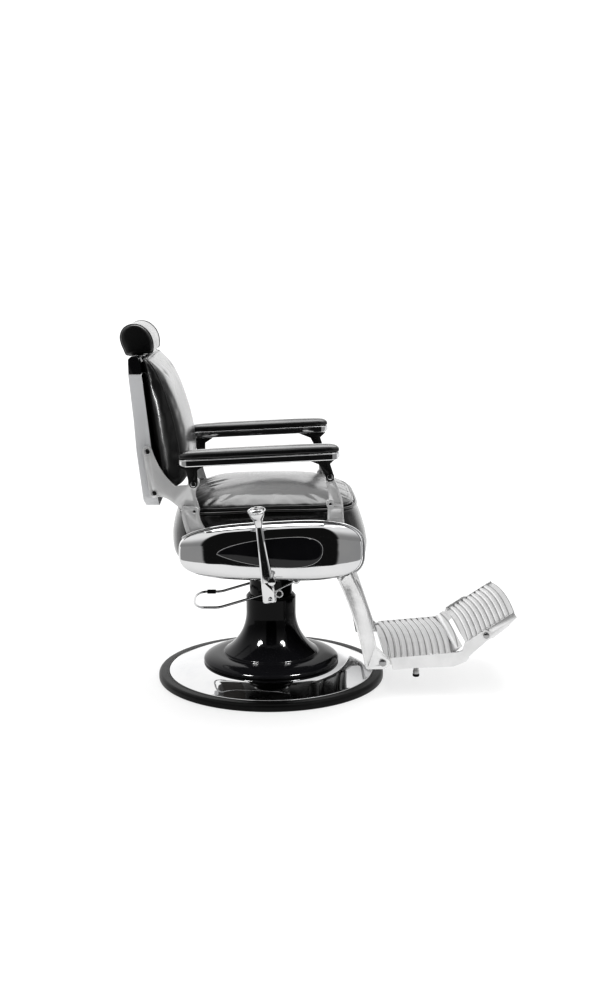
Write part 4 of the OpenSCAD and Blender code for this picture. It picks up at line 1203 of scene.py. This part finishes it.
@dataclass
class Casing:
    """Chromed side casing with its bead and gloss inlay, on both sides."""

    inner_y: float = 259.0
    depth: float = 63.0
    length: float = 526.0
    height: float = 156.0
    mid_x: float = -3.0
    mid_z: float = 458.0
    wall: float = 6.0
    post_out: float = 288.0
    top_lift: float = 9.0
    inlay_lift: float = 10.0

    def build(self) -> None:
        """Makes the casings and their trim."""
        place_pair(self.shell(), "casing_shell", "seat", Slot.CHROME, "side_casing",
                   Chrome(rough=0.03))
        beads = self.bead()
        place(joined("casing_bead_pair", [beads, mirrored(beads, "bead_left")]), "seat",
              Slot.CHROME, ["casing_beads"])
        inlay = self.inlay()
        place(joined("inlay_pair", [inlay, mirrored(inlay, "inlay_left_part")]), "seat",
              Slot.GLOSS, ["casing_inlays"])
        rim = sweep("inlay_rim", on_right(self.teardrop(0.3), self.out + 1.6), 0.9, 10, True)
        place_pair(rim, "inlay_rim", "seat", Slot.CHROME, None, SatinChrome(tone=0.4))

    @property
    def out(self) -> float:
        """Depth of the casing's outer face."""
        return self.inner_y + self.depth

    def edge(self, cut: float, end_cut: float | None = None, count: int = 112) -> list[P2]:
        """Outline of the casing, a pill that is taller at its front, drawn in by cut."""
        half = self.length / 2 - (cut if end_cut is None else end_cut)
        out = []
        for i in range(count):
            a = 2 * math.pi * i / count
            c, s = spow(math.cos(a), 0.625), spow(math.sin(a), 0.625)
            rise = (self.height * 0.475 + self.top_lift + 13 * c if s > 0
                    else self.height * 0.525 + 6 * c)
            out.append((self.mid_x + half * c, self.mid_z + (rise - cut) * s))
        return out

    def shell(self) -> bpy.types.Object:
        """Pressed shell, open towards the seat."""
        d, w = self.depth, self.wall
        inner = [(d - 9, 44, 110), (d - 12, 34, 92), (0.6 * d, 12, 30), (3, w, w), (0.4, w, w)]
        outer = [(0, 4.5, 4.5), (0.4, 2.6, 2.6), (4, 1, 1), (8, 0.3, 0.3), (14, 0, 0), (24, 0, 0.4),
                 (0.57 * d, 0, 2), (0.64 * d, 0.7, 7), (0.7 * d, 2, 14), (0.76 * d, 3.7, 22.5),
                 (0.82 * d, 6, 33), (0.87 * d, 9, 44), (0.915 * d, 13, 57), (0.945 * d, 16.5, 68),
                 (0.97 * d, 20.5, 80), (d, 30, 104), (d + 0.9, 42, 124), (d + 1.5, 56, 140)]
        rings = [on_right(self.edge(cut, end), self.inner_y + s) for s, cut, end in inner + outer]
        return subdivided(loft("casing_shell", rings, 60))

    def bead(self) -> bpy.types.Object:
        """Bright bead over the casing's top and round its front end."""
        outline = self.edge(-3.0)
        line = [outline[i % len(outline)] for i in range(-10, 49)]
        return sweep("bead", on_right(line, self.post_out + 3.5), 3.4, 12)

    def teardrop(self, grow: float) -> list[P2]:
        """Outline of the inlay, a teardrop with its point to the rear."""
        x, z, g = self.mid_x, self.mid_z + self.inlay_lift, grow
        tip, end = (x - 153 - g, z - 7), (x + 146 + g, z + 2)
        top, low = (x + 63, z + 40 + g), (x + 43, z - 48 - g)
        return [*bezier(tip, (x - 147 - g, z + 12 + g), (x - 57, z + 36 + g), top, 16),
                *bezier(top, (x + 123, z + 42 + g), (x + 146 + g, z + 27), end, 12),
                *bezier(end, (x + 146 + g, z - 28), (x + 123, z - 50 - g), low, 12),
                *bezier(low, (x - 37, z - 45 - g), (x - 117, z - 26 - g), tip, 16)]

    def inlay(self) -> bpy.types.Object:
        """Domed gloss inlay."""
        outline = self.teardrop(0)
        cx = sum(p[0] for p in outline) / len(outline)
        cz = sum(p[1] for p in outline) / len(outline)
        rings = []
        for share, rise in ((1.0, -2.0), (1.0, 1.2), (0.985, 2.2), (0.95, 2.9), (0.85, 3.9),
                            (0.65, 5.2), (0.4, 6.1), (0.15, 6.5)):
            rings.append([(cx + (px - cx) * share, -(self.out + rise), cz + (pz - cz) * share)
                          for px, pz in outline])
        return subdivided(loft("inlay", rings, 60))


# ---- arms -----------------------------------------------------------------------------------


@dataclass
class Armrest:
    """Armrests: chromed trays with a black band, pads, struts and bolts."""

    mid: P2 = (-34.0, 718.0)
    slope: float = 2.5
    side: float = 300.0
    length: float = 452.0
    width: float = 62.0
    tray_h: float = 21.0
    cap_len: float = 36.0

    def build(self) -> None:
        """Makes both armrests."""
        place_pair(self.tray(), "armrest_tray", "armrests", Slot.CHROME, "arm_tray")
        place_pair(self.band(), "armrest_band", "armrests", Slot.GLOSS)
        pad = self.pad()
        place_pair(pad, "armrest_pad", "armrests", Slot.VINYL, "arm_pad", Vinyl(rough=0.24), 0.9)

    def matrix(self) -> Matrix:
        """Frame of the armrest: X along its underside, Z up from it."""
        return posed(self.mid[0], -self.side, self.mid[1], -self.slope)

    def plan(self, inset: float, corner: int = 12) -> list[P2]:
        """Outline of the armrest from above, a pill drawn in by inset."""
        l, w = self.length / 2 - inset, self.width / 2 - inset
        r = w - 5
        out: list[P2] = []
        for sx, sy, a in ((1, 1, 0), (-1, 1, 90), (-1, -1, 180), (1, -1, 270)):
            out += arc((sx * (l - r), sy * (w - r)), r, a, a + 90, corner)
        return out

    def lift(self, x: float) -> float:
        """Height of the tray's underside, which rises to its ends."""
        d = max(0.0, abs(x) - self.length / 2 + 30)
        return 9 * (d / 30) ** 1.8

    def tray(self) -> bpy.types.Object:
        """Chromed tray whose ends reach up to the pad."""
        inner = self.length / 2 - self.cap_len
        rings = []
        for z, inset, recess in (
                (0, 5, 0), (0.5, 2.6, 0.2), (1.2, 1.4, 2), (1.8, 0.8, 3.2), (4.5, 0.4, 3.2),
                (9.0, 0.4, 3.2), (13, 0.4, 3.2), (17.0, 0.6, 3.2), (17.4, 1.2, 3.2),
                (17.9, 0.7, 1.2), (18.6, 0.2, 0), (20.2, 0.2, 0), (20.9, 0.8, 0), (21, 2.5, 0)):
            outer, deep = self.plan(inset), self.plan(inset + recess)
            ring = []
            for a, b in zip(outer, deep):
                at_end = ramp(abs(a[0]), inner - 1, inner + 1)
                x, y = (b[k] + (a[k] - b[k]) * at_end for k in (0, 1))
                ring.append((x, y, max(z, self.lift(x) + 0.02 * z)))
            rings.append(ring)
        return loft("tray", moved(self.matrix(), rings), 50)

    def band(self) -> bpy.types.Object:
        """Black band let into the tray between its chromed ends."""
        inner = self.length / 2 - self.cap_len
        rings = []
        for z, inset in ((1.6, 6), (1.5, 2.6), (2.4, 1.5), (9.6, 0.8), (16.4, 1.3), (17.1, 2.2),
                         (17.2, 6)):
            ring = []
            for a, b in zip(self.plan(inset), self.plan(7)):
                hide = ramp(abs(a[0]), inner - 1, inner + 1)
                ring.append((a[0] + (b[0] - a[0]) * hide, a[1] + (b[1] - a[1]) * hide, z))
            rings.append(ring)
        return loft("band", moved(self.matrix(), rings), 50)

    def pad(self) -> bpy.types.Object:
        """Padded top with a thumbed edge."""
        rings = []
        for h, cut in ((0.4, 5), (1.6, 2), (4, 0.5), (7, 0.2), (8.4, 1.4), (9.6, 0.8), (12.4, 1.6),
                       (15.6, 4.4), (18.6, 9.5), (21, 17), (22.6, 30)):
            l, w = self.length / 2 - cut, self.width / 2 - min(cut * 0.62, 27)
            rings.append([(p[0], p[1], self.tray_h + h)
                          for p in soft_ring(0, -l, l, w, 0.36, 96)])
        obj = loft("pad", moved(self.matrix(), rings))
        inverse = self.matrix().inverted()
        low = self.tray_h + 3

        def held(p: Vector) -> float:
            """Held along the tray."""
            return 1.0 if (inverse @ p).z < low else 0.0

        return Stuffing(cap=2.5, voxel=4, pressure=3).fill(obj, held)


class Linkage:
    """Posts, links, brackets and bolts at both sides."""

    def build(self) -> None:
        """Rounds the edges of the castings and bolts."""
        for node, body in (("rear_post", "seat"), ("front_socket", "seat"),
                           ("front_link", "arm_links"), ("back_bracket", "backrest")):
            for side in ("right", "left"):
                name = f"{node}_{side}"
                place(eased(name, 1.4), body, Slot.CHROME, [name], SatinChrome())
        place(eased("arm_struts", 1.2), "armrests", Slot.DARK, ["arm_struts"])
        for node, body in (("arm_bolts", "armrests"), ("bracket_bolts", "backrest"),
                           ("recline_pins", "backrest"), ("knee_pins", "arm_links")):
            place(eased(node, 1.0), body, Slot.STEEL, [node], Chrome(rough=0.08))
        for node, body in (("seat_frame", "seat"), ("leg_crossbars", "legrest")):
            place(eased(node, 0.8), body, Slot.STEEL, [node], BlackPaint())


# ---- back and headrest ----------------------------------------------------------------------


@dataclass
class Back:
    """Reclining back: silver shell, cushion with piping, headrest socket."""

    low: P2 = (-322.0, 581.0)
    lean: float = 6.3
    half: float = 233.0
    cushion_z: float = 629.0

    def build(self) -> None:
        """Makes the back."""
        place(eased("back_shell", 1.2), "backrest", Slot.SILVER, ["back_shell"])
        place(eased("headrest_socket", 1.0), "backrest", Slot.GLOSS, ["headrest_socket"])
        cushion = self.cushion()
        place(cushion, "backrest", Slot.VINYL, ["back_cushion"], Vinyl(rough=0.26), 0.85)
        skin = Surface(cushion)
        place(skin.piping("back_piping", self.seam(0.0), 2.2, 0.5), "backrest", Slot.VINYL)
        place(skin.stitches("back_stitches", self.seam(9.0)), "backrest", Slot.VINYL, (), Thread())

    def shell_x(self, z: float) -> float:
        """X of the shell's front edge at height z."""
        return self.low[0] - math.tan(math.radians(self.lean)) * (z - self.low[1])

    def swells(self) -> list[tuple[float, float, float]]:
        """Height, forward swell and side cut of the cushion's sections."""
        return [(0, 45, 20), (4, 62, 8), (14, 80, 2), (34, 96, 0), (65, 106, 0), (101, 109, 0),
                (147, 107, 0), (192, 102, 0), (238, 93, 0), (278, 83, 1), (313, 71, 4),
                (344, 56, 9), (366, 38, 18), (376, 22, 32)]

    def cushion(self) -> bpy.types.Object:
        """Cushion that swells forward from the shell."""
        rings = []
        for z, swell, cut in self.swells():
            zz = self.cushion_z + z
            rings.append(soft_ring(zz, self.shell_x(zz) + 1, self.shell_x(zz) + swell - 3,
                                   self.half - cut - 1, 0.42, 96))
        obj = loft("back_cushion_cover", rings)

        def held(p: Vector) -> float:
            """Held where it lies on the shell."""
            return 1.0 if p.x < self.shell_x(p.z) + 12 else 0.0

        return Stuffing(cap=2.5, voxel=6, pressure=4, grow=0.002).fill(obj, held)

    def seam(self, inset: float) -> list[P3]:
        """Line round the front panel's edge, moved inwards by inset."""
        right: list[P3] = []
        for z, swell, cut in self.swells()[2:]:
            zz = self.cushion_z + z
            right.append((self.shell_x(zz) + swell * 0.72, -(self.half - cut - inset), zz))
        low, high = self.cushion_z + 2 + inset, self.cushion_z + 378 - inset
        bottom = [(self.shell_x(low) + 50, -180 + 60 * i, low) for i in range(7)]
        top = [(self.shell_x(high) + 22, 180 - 60 * i, high) for i in range(7)]
        left = [(x, -y, z) for x, y, z in right]
        loop = [*bottom, *left, *top, *right[::-1]]
        return [tuple(p) for p in smooth_path(loop, 4, True)]


@dataclass
class Headrest:
    """Headrest: a D-shaped roll with piped ends, on its flat post."""

    foot: P2 = (-384.95, 961.0)
    lean: float = 6.3
    half: float = 130.0
    middle: P2 = (12.0, 86.0)

    def build(self) -> None:
        """Makes the headrest."""
        place(eased("headrest_post", 0.6), "headrest", Slot.STEEL, ["headrest_post"], BlackPaint())
        roll = self.roll()
        place(roll, "headrest", Slot.VINYL, ["headrest_cushion"], Vinyl(rough=0.24), 0.9)
        skin = Surface(roll)
        for side, name in ((-1, "right"), (1, "left")):
            path = self.section(side * (self.half - 9), 1.0)
            place(skin.piping(f"headrest_piping_{name}", path, 1.9, 0.4), "headrest", Slot.VINYL)

    def matrix(self) -> Matrix:
        """Frame of the post: Z up along the back's lean, from the shell's top edge."""
        return posed(self.foot[0], 0, self.foot[1], -self.lean)

    def section(self, y: float, share: float) -> list[Vector]:
        """Section of the roll at a depth: flat under and behind, full in front."""
        edge = [*arc((-22, 54), 8, 180, 270, 6), *arc((46, 54), 8, 270, 345, 6),
                *bezier((54, 56), (61, 84), (51, 114), (26, 130), 14),
                *bezier((26, 130), (4, 142), (-34, 138), (-39, 100), 18),
                *bezier((-39, 100), (-40, 86), (-34, 70), (-31, 60), 6)]
        m, (cx, cz) = self.matrix(), self.middle
        return [m @ Vector((cx + share * (x - cx), y, cz + share * (z - cz))) for x, z in edge]

    def roll(self) -> bpy.types.Object:
        """Padded roll."""
        steps = [(1, 0.84), (0.985, 0.91), (0.95, 0.95), (0.9, 0.97), (0.7, 0.975)]
        steps = [(-s, k) for s, k in steps] + steps[::-1]
        obj = loft("headrest_cover", [self.section(s * self.half, k) for s, k in steps])
        edge = self.half - 9

        def held(p: Vector) -> float:
            """Sewn along both piped seams."""
            return max(0.0, 0.8 - abs(abs(p.y) - edge) / 5)

        return Stuffing(cap=3.5, voxel=4, pressure=4).fill(obj, held)


# ---- leg rest and toe board -----------------------------------------------------------------


@dataclass
class LegRest:
    """Leg rest: polished arms, calf pad, ribbed foot platform and folding toe board."""

    pivot: P2 = (215.0, 385.0)
    calf_lean: float = 19.0
    inner: float = 180.0
    hinge: P2 = (638.0, 178.0)
    feet_x: float = 443.0
    foot_start: P2 = (340.0, 110.0)
    foot_slope: float = 4.5
    toe_reach: float = 64.0
    toe_slope: float = 33.0
    bow: float = 12.0

    def build(self) -> None:
        """Makes the leg rest."""
        for side in ("right", "left"):
            name = f"leg_arm_{side}"
            place(eased(name, 1.6), "legrest", Slot.ALUMINIUM, [name], CastAluminium(rough=0.16))
        for node, body in (("platform_bolts", "legrest"), ("toe_bolts", "toe_board")):
            place(eased(node, 1.2), body, Slot.CHROME, [node], Chrome(tone=0.35, rough=0.12))
        place(eased("platform_feet", 0.8), "legrest", Slot.STEEL, ["platform_feet"])
        place(self.foot_tips(), "legrest", Slot.RUBBER)
        self.deck("foot_platform", "legrest", self.foot_start, self.foot_slope, 200, 19,
                  ((4, 24), (206, 222)))
        turn = math.radians(self.toe_slope)
        low = (self.hinge[0] - self.toe_reach * math.cos(turn),
               self.hinge[1] - self.toe_reach * math.sin(turn))
        self.deck("toe_plate", "toe_board", low, self.toe_slope, 190, 16.15,
                  ((4, 18), (158, 172)))
        place(self.calf_pad(), "legrest", Slot.VINYL, ["calf_pad"], Vinyl(rough=0.26), 0.85)
        place(self.toe_pad(), "toe_board", Slot.VINYL, ["toe_pad"], Vinyl(rough=0.26), 0.85)

    def deck(self, node: str, body: str, start: P2, slope: float, half: float, pitch: float,
             keep: tuple[P2, P2]) -> None:
        """Places a ribbed casting whose ribs bow in plan.

        Args:
            node: CAD node of the casting.
            body: CAD body that it moves with.
            start: Start of its deck in X and Z.
            slope: Slope of the deck, in degrees.
            half: Half of the deck's width.
            pitch: Pitch of the ribs.
            keep: Lengths between which the bow sets in at the start and fades at the end.
        """
        finish = RibbedCasting(start=(start[0] * MM, start[1] * MM), slope=slope,
                               pitch=pitch * MM, half=half * MM)
        place(bowed(eased(node, 0.9), start, slope, half, self.bow, keep), body,
              Slot.ALUMINIUM, [node], finish)

    def calf_pad(self) -> bpy.types.Object:
        """Pad between the leg arms."""
        m = posed(self.pivot[0] + 38, 0, self.pivot[1] - 32, 180 - self.calf_lean)
        rings = [soft_ring(s, -1.5 + cut * 0.6, 31 - cut, self.inner - 4 - cut, 0.4, 80)
                 for s, cut in ((0, 9), (2, 5.5), (6, 2.5), (16, 0.5), (60, 0), (116, 0),
                                (160, 0.5), (170, 2.5), (174, 5.5), (176, 9))]
        inverse = m.inverted()
        return Stuffing(cap=3, voxel=5, pressure=3).fill(
            loft("calf_cover", moved(m, rings)), lambda p: 1.0 if (inverse @ p).x > 15 else 0.0)

    def foot_tips(self) -> bpy.types.Object:
        """Rubber tips of the platform's two feet."""
        tips = []
        for y in (-100, 100):
            tips.append(lathe("tip", [(0, 20.6), (8.6, 20.6), (10.2, 22), (10.4, 28), (9.7, 29.4),
                                      (0, 29.4)], posed(self.feet_x, y, 0), 40))
        return joined("foot_tips", tips)

    def toe_pad(self) -> bpy.types.Object:
        """Pad under the toe board, which faces up when the board is flipped."""
        m = (posed(self.hinge[0], 0, self.hinge[1], -self.toe_slope)
             @ Matrix.Rotation(math.pi, 4, "X"))
        base = -1.4
        rings = [soft_ring(base + z, -26 + side, 104 - end, 180 - side, 0.4, 80)
                 for z, side, end in ((0, 4, 4), (2, 1.2, 1.2), (5, 0.6, 1), (14, 1.2, 1.6),
                                      (22, 4, 6), (28, 10, 16), (31.5, 23, 38))]
        inverse = m.inverted()
        return Stuffing(cap=2.5, voxel=5, pressure=3).fill(
            loft("toe_cover", moved(m, rings)),
            lambda p: 1.0 if (inverse @ p).z < base + 4 else 0.0)


# ---- pump bail and lever --------------------------------------------------------------------


@dataclass
class Pump:
    """Foot bail of the pump, with its rubber sleeve."""

    pivot: P2 = (75.0, 326.0)
    knee: P2 = (10.0, 292.0)
    heel: P2 = (-158.0, 243.0)
    end_x: float = -236.0
    side: float = 95.0
    corner: P2 = (34.0, 80.0)
    radius: float = 4.0

    def build(self) -> None:
        """Makes the bail."""
        rod = sweep("bail_rod", self.route(), self.radius, 16)
        parts = [rod]
        for sign in (-1, 1):
            m = posed(self.pivot[0], sign * self.side, self.pivot[1], 90, "X")
            parts.append(lathe("eye", [(5.1, -3.2), (5.8, -4), (10, -4), (11, -3), (11, 3), (10, 4),
                                       (5.8, 4), (5.1, 3.2)], m, 48))
        place(joined("bail", parts), "pump_bail", Slot.CHROME, ["pump_bail"],
              Chrome(tone=0.5))
        place(self.sleeve(), "pump_bail", Slot.RUBBER, ["bail_sleeve"])

    def bends(self) -> list[P2]:
        """Side view of the rod from its eye to its end."""
        pts = [self.pivot, self.knee, self.heel, (self.end_x, self.heel[1])]
        out: list[P2] = [pts[0]]
        for before, at, after in zip(pts, pts[1:], pts[2:]):
            a, b, c = Vector(before), Vector(at), Vector(after)
            p = b + (a - b).normalized() * 12
            q = b + (c - b).normalized() * 12
            out += [tuple(p), *bezier(tuple(p), tuple(p.lerp(b, 0.6)), tuple(q.lerp(b, 0.6)),
                                      tuple(q), 8)]
        return out

    def route(self) -> list[P3]:
        """Centre line of the rod from one eye round to the other."""
        near = on_right(self.bends(), self.side)
        (cx, cy) = self.corner
        turn = [(self.end_x + cx * (1 + x), cy * (1 + y) - self.side, self.heel[1])
                for x, y in arc((0, 0), 1, 270, 180, 24)]
        half = near + turn
        return half + [(x, -y, z) for x, y, z in reversed(half)]

    def sleeve(self) -> bpy.types.Object:
        """Rubber sleeve on the bail's far rod."""
        m = posed(self.end_x + self.corner[0] + 1, self.side, self.heel[1], 90)
        profile = [(4.05, 0), (6.4, 0), (7, 1)]
        for i in range(5):
            profile += [(7, 2 + 5 * i), (6.5, 3 + 5 * i), (6.5, 4 + 5 * i), (7, 5 + 5 * i)]
        return lathe("sleeve", [*profile, (6.4, 27), (4.05, 27)], m, 40)


@dataclass
class Lever:
    """Recline lever: tapered blade, cup knob, bolt and wire eye."""

    pivot: P2 = (-2.0, 387.0)
    depth: float = 336.0
    thick: float = 12.0
    length: float = 222.0
    lean: float = 7.7
    cup_tilt: float = 12.0
    foot_taper: float = 6.5

    def build(self) -> None:
        """Makes the lever."""
        place(self.blade(), "recline_lever", Slot.CHROME, ["recline_lever"])
        place(self.cup(), "recline_lever", Slot.CHROME, ["lever_cup"])
        place(self.disc(), "recline_lever", Slot.GLOSS)
        place(self.bolt(), "recline_lever", Slot.CHROME, ["lever_bolt"])
        place(eased("lever_shaft", 1.0), "recline_lever", Slot.STEEL, ["lever_shaft"],
              Chrome(rough=0.08))
        place(self.eye(), "recline_lever", Slot.CHROME)

    def matrix(self) -> Matrix:
        """Frame of the blade: Z up along it, -Y outwards."""
        return posed(self.pivot[0] - 5, -self.depth, self.pivot[1] - 65, -self.lean)

    def blade(self) -> bpy.types.Object:
        """Blade with bevelled faces, wide at its foot."""
        rings = []
        for z, left, right in ((0, -16, 16), (4, -19, 20), (60, -16.8, 17.4), (120, -14.4, 14.9),
                               (132, -14, 14.4), (170, -12.5, 12.6), (self.length, -10.5, 10.5)):
            t = self.thick - self.foot_taper * (1 - min(1.0, z / 120))
            rings.append([(x, y, z) for x, y in (
                (left, 0), (left + 1, -t * 0.62), (left + 5.5, -t), (right - 5.5, -t),
                (right - 1, -t * 0.62), (right, 0))])
        return bevelled(loft("blade", moved(self.matrix(), rings)), 1.1)

    def cup_matrix(self) -> Matrix:
        """Frame of the cup: Z along its axis."""
        return self.matrix() @ posed(0, -self.thick / 2, self.length + 1.6, self.cup_tilt, "X")

    def disc(self) -> bpy.types.Object:
        """Black disc let into the cup's dish."""
        profile = [(0, 41.4), (13.4, 41.4), (13.4, 43.6), (13, 44.2), (0, 43.8)]
        return lathe("cup_disc", profile, self.cup_matrix(), 48)

    def cup(self) -> bpy.types.Object:
        """Flared cup with a rolled rim."""
        profile = [(0, 0), (10, 0), (11, 1), *bezier((11, 1), (11.5, 10), (12.6, 18), (17, 26), 8),
                   *bezier((17, 26), (21.4, 34), (24, 40), (24.2, 45), 8),
                   *arc((23.9, 48.2), 2.4, -60, 160, 10),
                   *bezier((21.6, 48.4), (20, 45), (11, 43), (0, 42.6), 10)]
        return lathe("cup", profile, self.cup_matrix(), 96, 50)

    def bolt(self) -> bpy.types.Object:
        """Domed bolt at the blade's foot."""
        m = self.matrix() @ posed(2, -self.thick - 0.2, 9, 90, "X")
        return lathe("blade_bolt", [(0, -1), (6.4, -1), (6.4, 1), (5.6, 2.6), (3.6, 3.7), (0, 4.1)],
                     m, 48)

    def eye(self) -> bpy.types.Object:
        """Wire eye clipped to the blade's edge."""
        m = self.matrix()
        ring = [(30 + 9.5 * math.cos(a), -6, 23 + 9.5 * math.sin(a))
                for a in (math.radians(200 - 12 * i) for i in range(29))]
        tail = [(16, -6, 2), (17.6, -6, 8), (18.6, -6, 14)]
        path = smooth_path([m @ Vector(p) for p in [*tail, *ring]], 3)
        return sweep("wire_eye", path, 1.9, 10)


# ---- stage ----------------------------------------------------------------------------------


@dataclass(frozen=True)
class Lamp:
    """A soft area lamp.

    Args:
        name: Name of the lamp.
        at: Where it stands, in metres.
        target: Point that it faces.
        size: Width and height, in metres.
        power: Power, in watts.
        only_on: Pieces that it falls on; all where none is given.
        shape: Shape of its face.
    """

    name: str
    at: P3
    target: P3
    size: P2
    power: float
    only_on: tuple[str, ...] = ()
    shape: str = "RECTANGLE"

    def build(self) -> None:
        """Adds the lamp to the scene."""
        data = bpy.data.lights.new(self.name, "AREA")
        data.shape = self.shape
        data.size, data.size_y = self.size
        data.energy = self.power
        obj = bpy.data.objects.new(self.name, data)
        aim = Vector(self.target) - Vector(self.at)
        obj.matrix_world = (Matrix.Translation(self.at)
                            @ aim.to_track_quat("-Z", "Y").to_matrix().to_4x4())
        bpy.context.scene.collection.objects.link(obj)
        if self.only_on:
            group = bpy.data.collections.new(f"{self.name}_receivers")
            for name in self.only_on:
                group.objects.link(bpy.data.objects[name])
            obj.light_linking.receiver_collection = group


LAMPS = (
    Lamp("overhead", (0.2, 0.6, 3.0), (0, 0, 0.4), (2.4, 1.8), 46),
    Lamp("left_lamp", (-1.75, -1.65, 2.4), (0, 0, 0.1), (0.75, 0.75), 400,
         ("pedestal_casting",), "DISK"),
    Lamp("right_lamp", (1.75, -1.65, 2.4), (0, 0, 0.1), (0.75, 0.75), 400,
         ("pedestal_casting",), "DISK"),
    Lamp("inlay_lamp", (0.7, -2.96, 1.76), (0, 0, 0.1), (0.24, 0.24), 10,
         ("inlay_pair",), "DISK"),
    Lamp("streak_lamp", (-1.15, -2.3, 0.8), (-0.3, -0.2, 0.8), (0.14, 0.7), 18,
         ("back_cushion_cover",)),
)


@dataclass
class Studio:
    """Camera, soft lamps, pale floor and the studio's surroundings."""

    eye: P3 = (-0.0402, -3.7895, 1.2595)
    yaw: float = 1.968
    pitch: float = 10.530
    lens: float = 45.317
    floor_r: float = 60000.0
    flag_r: float = 1500.0
    flag_end: float = 59000.0
    flag_z: float = 6.0

    def build(self) -> None:
        """Sets up the studio."""
        self.camera()
        self.world()
        self.floor()
        self.flag()
        for lamp in LAMPS:
            lamp.build()
        bpy.context.scene.view_settings.view_transform = "Standard"
        bpy.context.scene.view_settings.look = "Medium High Contrast"

    def camera(self) -> None:
        """Camera at the catalogue angle."""
        data = bpy.data.cameras.new("camera")
        data.lens = self.lens
        data.sensor_width = 36
        obj = bpy.data.objects.new("camera", data)
        yaw, pitch = math.radians(self.yaw), math.radians(self.pitch)
        forward = Vector((math.sin(yaw) * math.cos(pitch), math.cos(yaw) * math.cos(pitch),
                          -math.sin(pitch)))
        obj.matrix_world = (Matrix.Translation(self.eye)
                            @ forward.to_track_quat("-Z", "Y").to_matrix().to_4x4())
        bpy.context.scene.collection.objects.link(obj)
        bpy.context.scene.camera = obj

    def world(self) -> None:
        """White to the camera, and the studio's surroundings to everything else."""
        world = bpy.data.worlds.new("studio")
        bpy.context.scene.world = world
        world.use_nodes = True
        kit = NodeKit(world.node_tree)
        surroundings = kit.grey(self.surroundings(kit))
        seen = kit.add("ShaderNodeBackground", None, {0: WHITE, 1: 1.0})
        lit = kit.add("ShaderNodeBackground", None, {0: surroundings, 1: 1.0})
        rays = kit.add("ShaderNodeLightPath")
        kit.add("ShaderNodeOutputWorld", None, {
            0: kit.mixed(rays.outputs["Is Camera Ray"], lit.outputs[0], seen.outputs[0])})

    @staticmethod
    def surroundings(kit: NodeKit) -> Expr:
        """Tone of the studio by direction: a dark card before the chair, walls, white behind."""
        across, along, height = kit.axes(kit.add("ShaderNodeTexCoord").outputs["Generated"])
        level = (1.0001 - height * height) ** 0.5
        ahead, right = along / level, across / level
        card = ((1 - (right**2).step(0.115, 0.165)) * (1 - ahead.step(-0.1, 0.0))
                * (1 - height.step(0.82, 0.86)))
        walls = 0.3 + height.step(0.1, 0.7) * 0.65
        gap = (height.step(0.24, 0.34) * right.step(-0.06, -0.01)
               * (1 - height.step(0.72, 0.82)))
        behind = ahead.step(0.2, 0.75) * (1 - gap * ahead.step(0.5, 0.6) * 0.9)
        return (walls * (1 - behind) + behind * 1.15) * (1 - card) + card * 0.012

    def floor(self) -> None:
        """Pale floor that fades into the white surroundings."""
        r = self.floor_r
        obj = lathe("floor", [(0, -2), (r, -2), (r, 0), (0, 0)], None, 64)
        mat, kit = blank_material("pale_floor")
        reach = Expr(kit, kit.add("ShaderNodeVectorMath", {"operation": "LENGTH"},
                                  {0: kit.place()}).outputs["Value"])
        grain = kit.noise(30.0, 4.0)
        surface = kit.add("ShaderNodeBsdfPrincipled", None, {
            "Base Color": kit.greys(grain, 0.86, 0.88), "Roughness": 0.6})
        share = reach.step(0.5, 1.9) * 0.45 + 0.55
        kit.add("ShaderNodeOutputMaterial", None,
                {0: kit.mixed(share, surface.outputs[0], kit.glow(1.0))})
        obj.data.materials.append(mat)

    def flag(self) -> None:
        """Glowing card on the floor before the chair, seen only in reflections: painted
        reflections, dark ahead of the chair and grey to its sides.
        """
        mat, kit = blank_material("studio_flag")
        x, y, _ = kit.axes(kit.place())
        across = x / y
        edge = (across * across) ** 0.5 + kit.noise(2.2, 3.0) * 0.06
        # painted reflection: glow 0.012 in the dark middle, 0.34 at the sides
        kit.add("ShaderNodeOutputMaterial", None,
                {0: kit.mixed(edge.step(0.36, 0.45), kit.glow(0.012), kit.glow(0.34))})
        verts: list[P3] = []
        for a in range(-170, -9, 5):
            c, s = math.cos(math.radians(a)), math.sin(math.radians(a))
            verts += [(r * c, r * s, self.flag_z) for r in (self.flag_r, self.flag_end)]
        mesh = bpy.data.meshes.new("front_flag")
        mesh.from_pydata([Vector(v) * MM for v in verts], [],
                         [(i, i + 1, i + 3, i + 2) for i in range(0, len(verts) - 3, 2)])
        obj = link("front_flag", mesh)
        obj.data.materials.append(mat)
        obj.visible_camera = obj.visible_diffuse = obj.visible_shadow = False


def dress_frame() -> None:
    """Gives every CAD node that still shows the finish of its slot."""
    finishes = {slot.key: slot.finish for slot in Slot}
    slots = {part["node"]: part["material_slot"] for part in frame["record"]["subparts"]}
    for name, obj in frame["nodes"].items():
        if not obj.hide_render:
            finishes[slots[name]].dress(obj)
            log.info("%s keeps its shape", name)


def main() -> None:
    """Builds the chair's looks and its studio."""
    for assembly in (Base(), Seat(), Casing(), Armrest(), Linkage(), Back(), Headrest(), LegRest(),
                     Pump(), Lever()):
        log.info("building %s", type(assembly).__name__)
        assembly.build()
    dress_frame()
    Studio().build()


if __name__ == "__main__":
    logging.basicConfig(level=logging.INFO, format="%(message)s")
    main()
